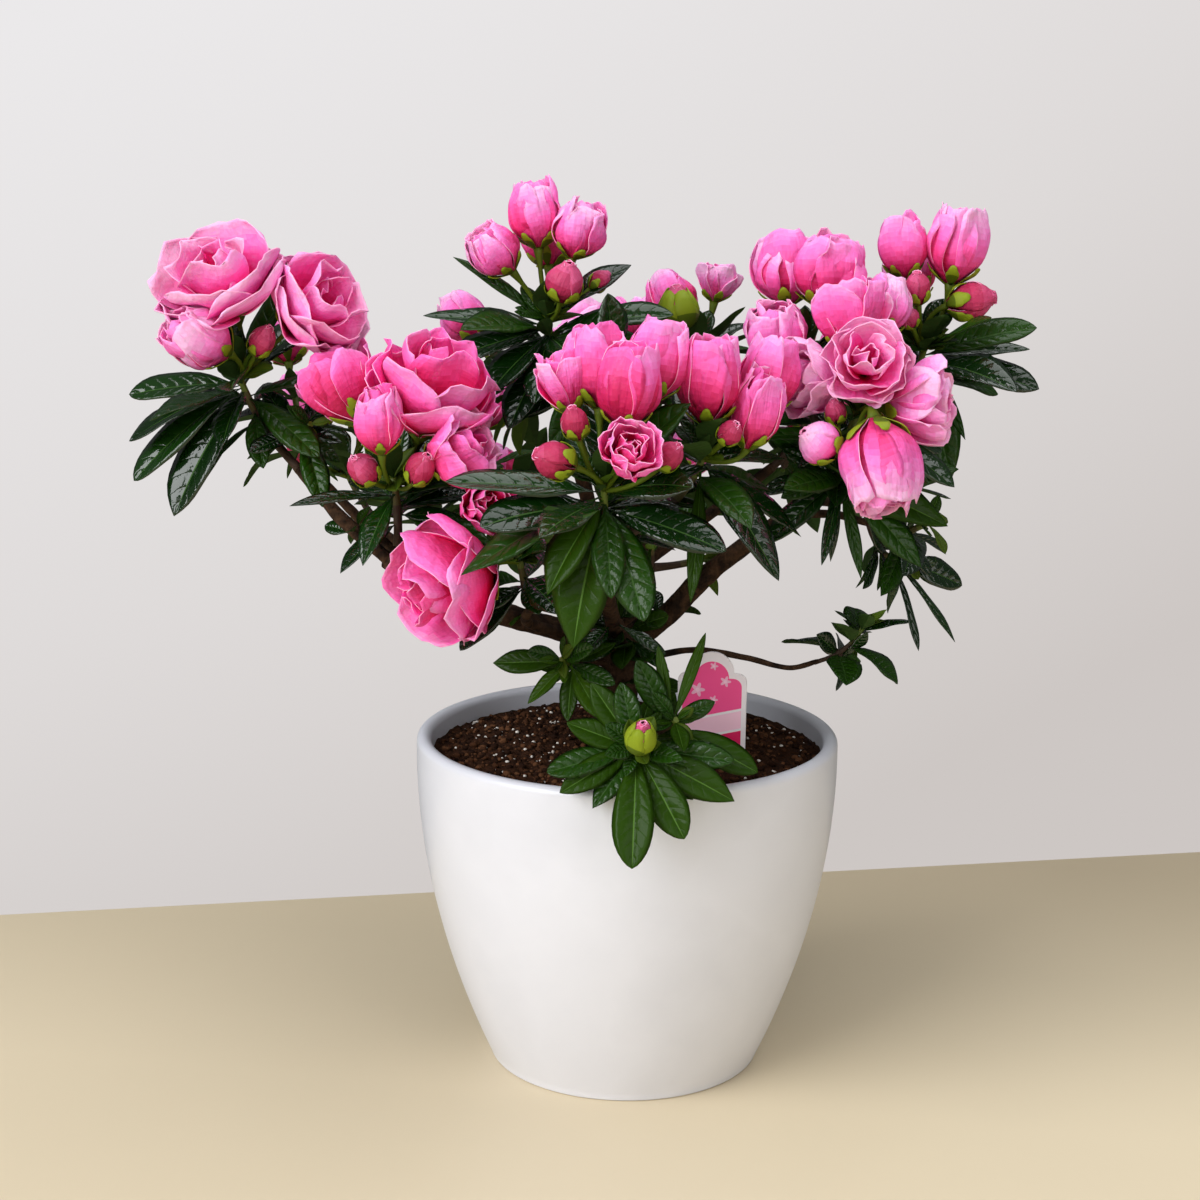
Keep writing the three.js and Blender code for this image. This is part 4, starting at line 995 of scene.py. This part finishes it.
def add_limb(heap, branch):
    """A limb with ridges along its bark, swellings, and lobes at the foot of the trunk."""
    is_trunk = branch.name == "trunk"
    sides = BARK_SIDES * (2 if is_trunk else 1)
    length = length_of(limb_points(branch, 60))
    steps = max(8, round(length / BARK_STEP))
    centres = limb_points(branch, steps)
    seed = 7.3 * len(branch.name) + branch.path[-1][0]
    turn = turns(sides)
    radii = np.zeros((steps + 1, sides))
    for i in range(steps + 1):
        t = i / steps
        base = drawn_radius(branch, t)
        along = t * length
        for j, a in enumerate(turn):
            ridge = noise.noise(Vector((2.2 * cos(a), 2.2 * sin(a), along * 0.06 + seed)))
            fine = noise.noise(Vector((4.5 * cos(a), 4.5 * sin(a), along * 0.28 + seed)))
            swell = noise.noise(Vector((seed, 0.5, along * 0.09)))
            radii[i, j] = base * (1 + 0.16 * ridge + 0.08 * fine + 0.12 * swell)
            if is_trunk:
                radii[i, j] *= 1 + 0.1 * sin(4 * a + 1.1) * max(0, 1 - t / 0.45)
    radii[-1] *= 0.92
    add_tube(heap, path_rings(centres, radii, sides), 0)


def add_stem(heap, stem, branch, is_main):
    """A shoot's young stem, brown at its start and green at its tip. The main one goes on from its bough."""
    length = np.linalg.norm(stem.tip - stem.start)
    steps = max(6, round(length / 2.5))
    t = np.linspace(0, 1, steps + 1)
    centres = stem_point(stem.start, stem.tip, stem.facing, t)
    root_radius = STEM.root_radius
    if is_main:
        centres[0] = centres[0] - 0.6 * (centres[1] - centres[0])
        root_radius = min(root_radius, drawn_radius(branch, 1))
    radii = root_radius + (min(STEM.tip_radius, root_radius) - root_radius) * t
    radii = radii * (1 + 0.08 * np.sin(2.1 * t * length))
    tones = np.clip(((t[:-1] - 0.35) * 5).astype(int), 0, 2)
    add_tube(heap, path_rings(centres, radii, 8), tones)


# ---- pot, soil and label ----


def lathe(profile, sides):
    """Rings of points round Z for each (radius, height) of a profile."""
    turn = turns(sides)
    r, z = np.array(profile, float).T
    return np.stack([np.outer(r, np.cos(turn)), np.outer(r, np.sin(turn)),
                     np.broadcast_to(z[:, None], (len(z), sides))], -1)


def pot_profile():
    """The pot's section, from the middle of its underside out, up, over the lip and down to its floor."""
    low = POT.foot_round
    lip = POT.wall / 2
    top = POT.height - lip
    profile = [(12, 0), (30, 0)]
    foot = float(pot_radius(low))
    for i in range(7):
        a = pi / 2 * i / 6
        profile.append((foot - low + low * sin(a), low - low * cos(a)))
    profile += [(float(pot_radius(z)), z) for z in np.linspace(low, top, 48)[1:]]
    middle = float(pot_radius(top)) - lip
    for i in range(1, 13):
        a = pi * i / 12
        profile.append((middle + lip * cos(a), top + lip * sin(a)))
    profile += [(float(pot_radius(z)) - POT.wall, z) for z in np.linspace(top, POT.floor + 6, 30)[1:]]
    profile += [(42, POT.floor + 1), (36, POT.floor), (10, POT.floor)]
    return profile


def soil_height(x, y):
    """The soil's crumbly top, in millimetres."""
    r = hypot(x, y)
    share = min(1, max(0, r - SOIL.flat_radius) / 54)
    z = SOIL.level + (SOIL.edge_level - SOIL.level) * share
    z += 0.9 * noise.noise(Vector((x * 0.16, y * 0.16, 3.0)))
    z += 1.5 * abs(noise.noise(Vector((x * 0.34, y * 0.34, 5.0))))
    return z + 0.8 * noise.noise(Vector((x * 0.9, y * 0.9, 8.0))) - 0.6


def add_soil(heap, draw):
    """The soil's crumbly top over a flat underside, and the crumbs and pale specks that lie on it."""
    low, middle = SOIL.underside, SOIL.middle_radius
    edge, low_edge = (float(pot_radius(z)) - POT.wall + SOIL.seat for z in (SOIL.edge_level, low))
    turn = turns(SOIL.sides)

    def ring(r, z=None):
        places = [(r * cos(a), r * sin(a)) for a in turn]
        return [(x, y, soil_height(x, y) if z is None else z) for x, y in places]

    rows = np.linspace(middle, edge, SOIL.rows)[::-1]
    rings = np.array([ring(middle, low), ring(low_edge, low), *(ring(r) for r in rows)])
    add_tube(heap, rings, 0, flat_ends=False)
    for i in range(SOIL.crumbs + SOIL.specks):
        is_speck = i >= SOIL.crumbs
        size = (0.3 + 0.5 * draw()) if is_speck else (0.4 + 1.1 * draw() ** 2.2)
        r, a = (edge - 1.6 - size) * sqrt(draw()), 2 * pi * draw()
        x, y = r * cos(a), r * sin(a)
        add_crumb(heap, np.array([x, y, soil_height(x, y) + 0.25 * size]), size,
                  4 if is_speck else 1 + int(3 * draw()), draw)


PHI = (1 + sqrt(5)) / 2
CRUMB_POINTS = np.array([
    (-1, PHI, 0), (1, PHI, 0), (-1, -PHI, 0), (1, -PHI, 0), (0, -1, PHI), (0, 1, PHI),
    (0, -1, -PHI), (0, 1, -PHI), (PHI, 0, -1), (PHI, 0, 1), (-PHI, 0, -1), (-PHI, 0, 1),
]) / 1.9
CRUMB_FACES = np.array([
    (0, 11, 5), (0, 5, 1), (0, 1, 7), (0, 7, 10), (0, 10, 11), (1, 5, 9), (5, 11, 4), (11, 10, 2), (10, 7, 6),
    (7, 1, 8), (3, 9, 4), (3, 4, 2), (3, 2, 6), (3, 6, 8), (3, 8, 9), (4, 9, 5), (2, 4, 11), (6, 2, 10),
    (8, 6, 7), (9, 8, 1),
])


def add_crumb(heap, centre, size, tone, draw):
    """A small lump with twenty uneven sides."""
    stretch = np.array([0.7 + 0.6 * draw(), 0.7 + 0.6 * draw(), 0.55 + 0.4 * draw()])
    turn = TURN * draw()
    c, s = cos(turn), sin(turn)
    points = CRUMB_POINTS * stretch * (0.8 + 0.4 * np.array([draw() for _ in range(12)]))[:, None]
    x, y, z = points.T
    heap.add(centre + size * np.stack([c * x - s * y, s * x + c * y, z], -1), [(CRUMB_FACES, tone, False)])


def label_points(flat):
    """Points on the label, given across it, up it from the soil and out from its middle plane."""
    x, y, z = np.asarray(flat, float).T
    tilt, yaw = radians(90 - LABEL.lean), radians(LABEL.yaw)
    away, high = y * cos(tilt) - z * sin(tilt), y * sin(tilt) + z * cos(tilt)
    turned = np.stack([x * cos(yaw) - away * sin(yaw), x * sin(yaw) + away * cos(yaw), high], -1)
    return turned + np.array([*LABEL.foot, SOIL.level])


def label_outline(inset):
    """The label's outline, counterclockwise: straight sides, rounded shoulders and a dome on top."""
    half, low = LABEL.width / 2 - inset, -LABEL.buried + inset
    shoulder, r = LABEL.shoulder - inset, LABEL.shoulder_round
    dome = LABEL.dome_radius - inset
    outline = [(-half, low), (half, low)]
    outline += [(half - r * (1 - cos(a)), shoulder - r + r * sin(a)) for a in np.linspace(0, pi / 2, 7)]
    outline += [(dome * cos(a), shoulder + dome * sin(a)) for a in np.linspace(0, pi, 25)]
    outline += [(-half + r * (1 - cos(a)), shoulder - r + r * sin(a))
                for a in np.linspace(pi / 2, 0, 7)]
    return np.array(outline)


def cut(outline, normal, most):
    """The part of a convex outline where its points times a normal come to no more than a limit."""
    kept = []
    for a, b in zip(outline, np.roll(outline, -1, axis=0)):
        high_a, high_b = a @ normal - most, b @ normal - most
        if high_a <= 0:
            kept.append(a)
        if (high_a < 0 < high_b) or (high_b < 0 < high_a):
            kept.append(a + (b - a) * high_a / (high_a - high_b))
    return np.array(kept)


def add_plate(heap, outline, back, front, tone, bevel=0.0):
    """A flat plate with this outline between two distances from the label's middle plane."""
    centre = outline.mean(axis=0)
    smaller = centre + (outline - centre) * (1 - bevel / 12)
    levels = [(outline, back), (outline, front)]
    if bevel:
        levels = [(smaller, back), (outline, back + bevel), (outline, front - bevel), (smaller, front)]
    rings = [label_points(np.column_stack([flat, np.full(len(flat), z)])) for flat, z in levels]
    add_tube(heap, np.array(rings), tone, flat_sides=True)


# The printed flowers: how far across and up the label each one is, and its radius.
FLOWERS = [
    (-5, 25, 2.6), (4.6, 28.2, 2.0), (0.6, 21.6, 1.6), (6.4, 4.6, 1.7), (-6.2, 3.4, 1.5), (0.5, 33.5, 1.5),
]


def add_label(heap):
    """A plain printed plant label: a pink field, a pale slanting band and a few simple flowers."""
    face = LABEL.thickness / 2
    add_plate(heap, label_outline(0), -face, face, 0, 0.15)
    field = label_outline(LABEL.margin)
    slant = np.array([-0.24, 1.0])
    printed = (face - 0.05, face + 0.05)
    add_plate(heap, cut(field, -slant, -16.5), *printed, 1)
    add_plate(heap, cut(cut(field, slant, 15.6), -slant, -9.5), *printed, 3)
    add_plate(heap, cut(cut(field, slant, 8.6), np.array([0.0, -1.0]), -1.0), *printed, 2)
    turn = turns(40)
    for x, y, size in FLOWERS:
        petals, eye = size * (0.72 + 0.28 * np.cos(5 * turn)), 0.28 * size
        for r, back, front, tone in ((petals, 0, 0.1, 4), (eye, 0.05, 0.14, 3)):
            outline = np.column_stack([x + r * np.cos(turn), y + r * np.sin(turn)])
            add_plate(heap, outline, face + back, face + front, tone)


# ---- materials ----


def linear(colour):
    """A colour given from 0 to 255 in sRGB, as Blender's linear one."""
    shares = [c / 255 for c in colour]
    return (*(s / 12.92 if s <= 0.04045 else ((s + 0.055) / 1.055) ** 2.4 for s in shares), 1)


def connect(tree, node, inputs):
    """Sets inputs of a node, by name or number, to values or links them to other nodes' outputs."""
    for socket, value in inputs.items():
        if isinstance(value, bpy.types.NodeSocket):
            tree.links.new(value, node.inputs[socket])
        else:
            node.inputs[socket].default_value = value
    return node


def add_node(tree, kind, inputs=None, **settings):
    node = tree.nodes.new(f"ShaderNode{kind}")
    for setting, value in settings.items():
        setattr(node, setting, value)
    return connect(tree, node, inputs or {})


def set_stops(ramp, stops):
    """Gives a colour ramp its stops, each a place from 0 to 1 and a colour."""
    elements = ramp.color_ramp.elements
    elements.remove(elements[1])
    for i, (at, colour) in enumerate(stops):
        stop = elements.new(at) if i else elements[0]
        stop.position, stop.color = at, linear(colour)


def shaded(name, colour, roughness, bump=(1200, 0.1, 0.0003), **inputs):
    """A plain material with a fine noise bump: the noise's scale per metre, its strength and its depth."""
    made = bpy.data.materials.new(name)
    made.use_nodes = True
    tree = made.node_tree
    scale, strength, depth = bump
    place = add_node(tree, "TexCoord").outputs["Object"]
    grain = add_node(tree, "TexNoise", {"Scale": scale, "Vector": place}).outputs["Fac"]
    raised = add_node(tree, "Bump", {"Strength": strength, "Distance": depth, "Height": grain})
    connect(tree, tree.nodes["Principled BSDF"], {
        "Base Color": linear(colour), "Roughness": roughness, "Normal": raised.outputs["Normal"],
        **{socket.replace("_", " "): value for socket, value in inputs.items()},
    })
    return made


def tinted(made, colours, source):
    """The material with a colour that goes through several as this output goes from 0.32 to 0.68."""
    ramp = add_node(made.node_tree, "ValToRGB", {"Fac": source})
    set_stops(ramp, [(0.32 + 0.36 * i / (len(colours) - 1), colour) for i, colour in enumerate(colours)])
    connect(made.node_tree, made.node_tree.nodes["Principled BSDF"], {"Base Color": ramp.outputs["Color"]})
    return made


def mottled(name, colours, roughness, scale, bump, **inputs):
    """A material whose colour wanders between several, by noise of this scale per metre."""
    made = shaded(name, colours[0], roughness, bump, **inputs)
    place = made.node_tree.nodes["Texture Coordinate"].outputs["Object"]
    spread = add_node(made.node_tree, "TexNoise", {"Scale": scale, "Detail": 5, "Vector": place})
    return tinted(made, colours, spread.outputs["Fac"])


def add_relief(made, height, strength, depth, normals):
    """A second bump over the material's fine one, by the height and for the normals that are named."""
    fine = made.node_tree.nodes["Bump"].outputs["Normal"]
    relief = add_node(made.node_tree, "Bump", {
        "Strength": strength, "Distance": depth, "Height": height, "Normal": fine,
    })
    shader = made.node_tree.nodes["Principled BSDF"]
    connect(made.node_tree, shader, {normal: relief.outputs["Normal"] for normal in normals})
    return made


def veined(name, colour, strength, **inputs):
    """A leaf's upper side: a wrinkled skin and sunken side veins that run up from midrib to margin."""
    made = shaded(name, colour, 0.55, (520, strength, 0.0006), **inputs)
    tree = made.node_tree

    def calculate(operation, *values):
        return add_node(tree, "Math", dict(enumerate(values)), operation=operation).outputs[0]

    place = add_node(tree, "UVMap", uv_map="leaf_uv").outputs["UV"]
    parts = add_node(tree, "SeparateXYZ", {0: place})
    out = calculate("ABSOLUTE", parts.outputs["X"])
    along = calculate("SUBTRACT", parts.outputs["Y"], calculate("MULTIPLY", out, 0.13))
    vein = calculate("ABSOLUTE", calculate("SINE", calculate("MULTIPLY", along, 9 * pi)))
    fade = calculate("SUBTRACT", 1, calculate("POWER", out, 3))
    height = calculate("MULTIPLY", calculate("POWER", vein, 0.45), fade)
    return add_relief(made, height, strength, 0.0006, ["Normal", "Coat Normal"])


def streaked(name, colours, count):
    """Petal materials with fine streaks from foot to tip, in `count` even steps through these colours."""
    materials = []
    for i, at in enumerate(np.linspace(0, len(colours) - 1, count)):
        colour = [np.interp(at, range(len(colours)), band) for band in zip(*colours)]
        made = shaded(f"petal_{name}_{i}", colour, 0.5, (230, 0.6, 0.002), **PETAL)
        tree = made.node_tree
        place = add_node(tree, "UVMap", uv_map="leaf_uv").outputs["UV"]
        stretch = add_node(tree, "Mapping", {"Scale": (7, 0.9, 1), "Vector": place}).outputs["Vector"]
        streaks = add_node(tree, "TexNoise", {"Scale": 1, "Detail": 3, "Vector": stretch})
        materials.append(add_relief(made, streaks.outputs["Fac"], 0.4, 0.0014, ["Normal"]))
    return materials


WET = dict(Coat_Weight=0.8, Coat_Roughness=0.06, Coat_IOR=1.6, Specular_IOR_Level=0.08)
DAMP = dict(Coat_Weight=0.4, Coat_Roughness=0.1, Specular_IOR_Level=0.1)
SATIN = dict(Coat_Weight=0.14, Coat_Roughness=0.14, Specular_IOR_Level=0.08)
MATT, DULL, DRY = (dict(Specular_IOR_Level=level) for level in (0.2, 0.15, 0.1))
PETAL = dict(Subsurface_Weight=0.2, Subsurface_Radius=(0.005, 0.0015, 0.002), Subsurface_Scale=0.5,
             Specular_IOR_Level=0.22)
# Petal and bud colours from the foot to the tip: the deep ones are partly the petal's own colour and partly
# painted shade.
OUTER_COLOURS = [
    (186, 22, 74), (222, 44, 108), (248, 76, 150), (255, 106, 188), (255, 142, 212), (255, 184, 230),
]
INNER_COLOURS = [
    (220, 0, 70), (244, 20, 112), (255, 60, 154), (255, 102, 184), (255, 142, 204), (255, 182, 222),
]
BUD_COLOURS = [(150, 28, 62), (186, 48, 90), (214, 86, 132)]
CRUMBS = dict(dark=((38, 21, 12), 0.95), brown=((66, 40, 24), 0.92), tan=((92, 60, 39), 0.9))
PRINT = dict(white=(246, 238, 242), pink=(252, 84, 150), rose=(226, 30, 96), pale=(255, 206, 226),
             flower=(248, 186, 212))

LEAF_MATERIALS = [
    veined("leaf_deep", (4, 34, 0), 0.42, **WET),
    veined("leaf_dark", (11, 46, 0), 0.42, **WET),
    veined("leaf_mid", (26, 60, 0), 0.6, **DAMP),
    veined("leaf_fresh", (35, 63, 0), 0.3, **SATIN),
    veined("leaf_bright", (46, 76, 0), 0.3, **SATIN),
    shaded("leaf_bract", (66, 86, 10), 0.55, **MATT),
    shaded("leaf_rib", (50, 82, 30), 0.5, **MATT),
    shaded("leaf_pale_rib", (72, 108, 34), 0.55, **MATT),
    shaded("leaf_under", (50, 76, 30), 0.65, **DULL),
    shaded("leaf_pale_under", (76, 106, 26), 0.62, **DULL),
]
PETAL_MATERIALS = [
    *streaked("outer", OUTER_COLOURS, OUTER_TONES),
    *streaked("inner", INNER_COLOURS, INNER_TONES),
    shaded("sepal_low", (80, 100, 12), 0.55, **MATT),
    shaded("sepal_high", (130, 148, 28), 0.55, **MATT),
    shaded("flower_stalk", (84, 102, 18), 0.55, **MATT),
    shaded("petal_margin", (252, 178, 216), 0.5, **MATT),
    *streaked("bud", BUD_COLOURS, BUD_TONES),
]
TWIG_MATERIALS = [
    shaded("twig_brown", (56, 36, 20), 0.7, (700, 0.5, 0.0006)),
    shaded("twig_olive", (72, 66, 20), 0.62, (700, 0.4, 0.0005)),
    shaded("twig_green", (88, 104, 24), 0.55, (700, 0.3, 0.0004)),
]
BARK = mottled("bark", [(20, 11, 7), (44, 29, 18), (70, 49, 33), (32, 20, 12)], 0.85, 160,
               (420, 0.9, 0.0012), **MATT)
GLAZE = mottled("pot_glaze", [(219, 221, 230), (222, 224, 233), (216, 218, 227)], 0.36, 18,
                (70, 0.04, 0.0006), Coat_Weight=0.2, Coat_Roughness=0.2)
SOIL_MATERIALS = [
    mottled("soil", [(30, 16, 9), (58, 34, 20), (40, 23, 13)], 0.95, 220, (500, 0.9, 0.0015), **DRY),
    *(shaded(f"crumb_{name}", *look, (900, 0.7, 0.0006), **DRY) for name, look in CRUMBS.items()),
    shaded("perlite", (226, 220, 212), 0.85, (900, 0.5, 0.0005)),
]
LABEL_MATERIALS = [
    shaded(f"label_{name}", colour, 0.38 if name == "white" else 0.35, (400, 0.05, 0.0002))
    for name, colour in PRINT.items()
]

# ---- the plant ----

# How much paler or deeper than the others the blooms of some masses are.
PALENESS = dict(front=-0.15, inner_left=-0.18, left_front=-0.11, top=0.08, left_crown=0.13, right_front=0.09)

space = Space()
limbs = grow_limbs(space)
grow_stems(space, limbs)
grow_leaves(space)
grow_finer(space)


def add_spurs(leaves, draw):
    for leaf in grow_spurs(limbs):
        width = WIDER.spur * drawn_width(leaf)
        if width:
            add_leaf(leaves, leaf, ("dark", "mid", "fresh")[int(3 * draw())], draw, width)


def add_mass(leaves, blossom, twigs, grown, draw):
    """A mass's leaves, its blooms with the small buds, and its stems with their bracts."""
    for leaf in grown.leaves:
        width = drawn_width(leaf) * WIDER.get(grown.name, 1)
        if width:
            add_leaf(leaves, leaf, leaf_tone(grown, leaf, draw), draw, width)
    for name, which, entries in SMALL_BUDS:
        if name == grown.name:
            grown.blooms += [make_bloom(grown.shoots[which], entry) for entry in entries]
    for bloom in grown.blooms:
        add_bloom(blossom, bloom, PALENESS.get(grown.name, 0), draw)
    for i, stem in enumerate(grown.shoots):
        add_stem(twigs, stem, limbs[grown.limb], i == 0)
        for k in range(FINER["bracts" if stem.blooms else "bare_bracts"]):
            leaf = stem_leaf(stem, 0.5 + 0.4 * k, GOLDEN_ANGLE * k + 40 * draw(), 18 + 50 * draw(),
                             7 + 8 * draw(), 15 + 25 * draw())
            add_leaf(leaves, leaf, ("bract", "mid", "bract")[k % 3], draw, WIDER.bract)
        for k in range(FINER.broad if len(stem.blooms) > 1 else 0):
            leaf = stem_leaf(stem, 1, 230 + 150 * k + 60 * draw(), 14 + 16 * draw(), 17 + 4 * draw(),
                             8 + 12 * draw())
            add_leaf(leaves, leaf, ("mid", "dark")[k], draw, WIDER.broad)


for group in ("left", "middle", "right", "low", "back"):
    members = [grown for grown in MASSES if grown.group == group]
    names = [grown.name for grown in members]
    leaves, blossom, twigs = Heap(), Heap(), Heap()
    if group == "low":
        add_spurs(leaves, seeded("spur_looks"))
    for grown in members:
        add_mass(leaves, blossom, twigs, grown, seeded("looks", grown.owner))
    make_piece(f"{group}_leaves", leaves, LEAF_MATERIALS, names)
    make_piece(f"{group}_twigs", twigs, TWIG_MATERIALS, names)
    if blossom.count:
        make_piece(f"{group}_blossom", blossom, PETAL_MATERIALS, names)

wood, pot_mesh, soil_mesh, label_mesh = Heap(), Heap(), Heap(), Heap()
for branch in LIMBS:
    add_limb(wood, branch)
add_tube(pot_mesh, lathe(pot_profile(), POT.sides), 0)
add_soil(soil_mesh, seeded("soil"))
add_label(label_mesh)
make_piece("trunk_and_boughs", wood, [BARK], [branch.name for branch in LIMBS])
make_piece("pot_shell", pot_mesh, [GLAZE], ["pot"])
make_piece("soil_bed", soil_mesh, SOIL_MATERIALS, ["soil"])
make_piece("label_tag", label_mesh, LABEL_MATERIALS, ["plant_label"])

# ---- stage, light and camera ----

# The floor's colour darkens towards the wall's foot with painted shade; the wall's foot is a line across it
# in metres, and the floor ends there.
FLOOR_LIT_TO_SHADED_COLOURS = [(224, 208, 178), (203, 188, 160), (192, 176, 148)]
PAINTED_SHADE_SLOPE, PAINTED_SHADE_AT_ORIGIN = (0.2, 1.3, 0), 0.38
WALL_LINE = (Vector((-0.2685, 0.1253, 0)), Vector((0.2789, 0.2223, 0)))
FLOOR = Record(half_width=2.5, depth=3, thickness=0.002)
COOL = (0.97, 0.985, 1.0)

laminate = shaded("floor_laminate", FLOOR_LIT_TO_SHADED_COLOURS[0], 0.5, (300, 0.05, 0.0003))
tree = laminate.node_tree
place = tree.nodes["Texture Coordinate"].outputs["Object"]
# Painted shade: the floor's colour steps from its lit colour to shaded ones along this slope.
away = add_node(tree, "VectorMath", {0: place, 1: PAINTED_SHADE_SLOPE}, operation="DOT_PRODUCT").outputs["Value"]
tinted(laminate, FLOOR_LIT_TO_SHADED_COLOURS, add_node(tree, "Math", {0: away, 1: PAINTED_SHADE_AT_ORIGIN}).outputs[0])
along_wall = (WALL_LINE[1] - WALL_LINE[0]).normalized()
from_wall = Vector((along_wall.y, -along_wall.x, 0))
middle = (WALL_LINE[0] + WALL_LINE[1]) / 2
half, deep = FLOOR.half_width, FLOOR.depth
places = ((-half, 0), (-half, deep), (half, deep), (half, 0))
corners = [middle + along_wall * a + from_wall * b for a, b in places]
floor_mesh = bpy.data.meshes.new("floor")
floor_mesh.from_pydata([*corners, *(c - Vector((0, 0, FLOOR.thickness)) for c in corners)], [], [
    (0, 1, 2, 3), (7, 6, 5, 4), (0, 4, 5, 1), (1, 5, 6, 2), (2, 6, 7, 3), (3, 7, 4, 0),
])
floor_mesh.materials.append(laminate)
floor = bpy.data.objects.new("floor", floor_mesh)
bpy.context.scene.collection.objects.link(floor)


def area_light(name, place, target, size, power, colour):
    light = bpy.data.lights.new(name, "AREA")
    light.size, light.energy, light.color = size, power, colour
    holder = bpy.data.objects.new(name, light)
    holder.location = place
    holder.rotation_euler = (Vector(target) - Vector(place)).to_track_quat("-Z", "Y").to_euler()
    holder.visible_camera = False
    bpy.context.scene.collection.objects.link(holder)


area_light("window", (-2.3, -1.85, 1.8), (0, 0, 0.15), 2.4, 112, COOL)
area_light("ceiling", (0.25, 0.1, 1.5), (0, 0, 0.15), 1.4, 15, COOL)
area_light("room", (1.7, -1.9, 1.1), (0, 0, 0.1), 1.8, 17, (1.0, 0.985, 0.965))
area_light("front", (-0.3, -1.9, 0.95), (0, 0, 0.12), 1.2, 6, (1.0, 0.985, 0.96))

# The camera sees a plain wall with painted light that brightens it up and to the left; a faint even light
# comes from all round.
WALL_PAINTED_LIGHT_COLOURS = [(0.24, (205, 199, 196)), (0.38, (222, 218, 217)), (0.54, (235, 233, 234))]
PAINTED_LIGHT_SLOPE = (-0.28, 0.45, 0.5)
AMBIENT = {"Color": (*COOL, 1), "Strength": 0.1}

world = bpy.context.scene.world or bpy.data.worlds.new("room")
bpy.context.scene.world = world
world.use_nodes = True
tree = world.node_tree
tree.nodes.clear()
place = add_node(tree, "TexCoord").outputs["Generated"]
# Painted light on the wall: its colour brightens along this slope.
share = add_node(tree, "VectorMath", {0: place, 1: PAINTED_LIGHT_SLOPE}, operation="DOT_PRODUCT").outputs["Value"]
wall = add_node(tree, "ValToRGB", {"Fac": share})
set_stops(wall, WALL_PAINTED_LIGHT_COLOURS)
seen = add_node(tree, "Background", {"Color": wall.outputs["Color"]})
ambient = add_node(tree, "Background", AMBIENT)
is_seen = add_node(tree, "LightPath").outputs["Is Camera Ray"]
mix = add_node(tree, "MixShader", {0: is_seen, 1: ambient.outputs[0], 2: seen.outputs[0]})
add_node(tree, "OutputWorld", {"Surface": mix.outputs[0]})

lens = bpy.data.cameras.new("camera")
lens.lens, lens.sensor_width = LENS, SENSOR
lens.clip_start, lens.clip_end = 0.01, 20
camera = bpy.data.objects.new("camera", lens)
camera.location = EYE * MM
look = Vector((0, cos(PITCH), -sin(PITCH)))
camera.rotation_euler = look.to_track_quat("-Z", "Y").to_euler()
camera.rotation_euler.rotate_axis("Z", ROLL)
bpy.context.scene.collection.objects.link(camera)
bpy.context.scene.camera = camera
bpy.context.scene.view_settings.view_transform = "Standard"
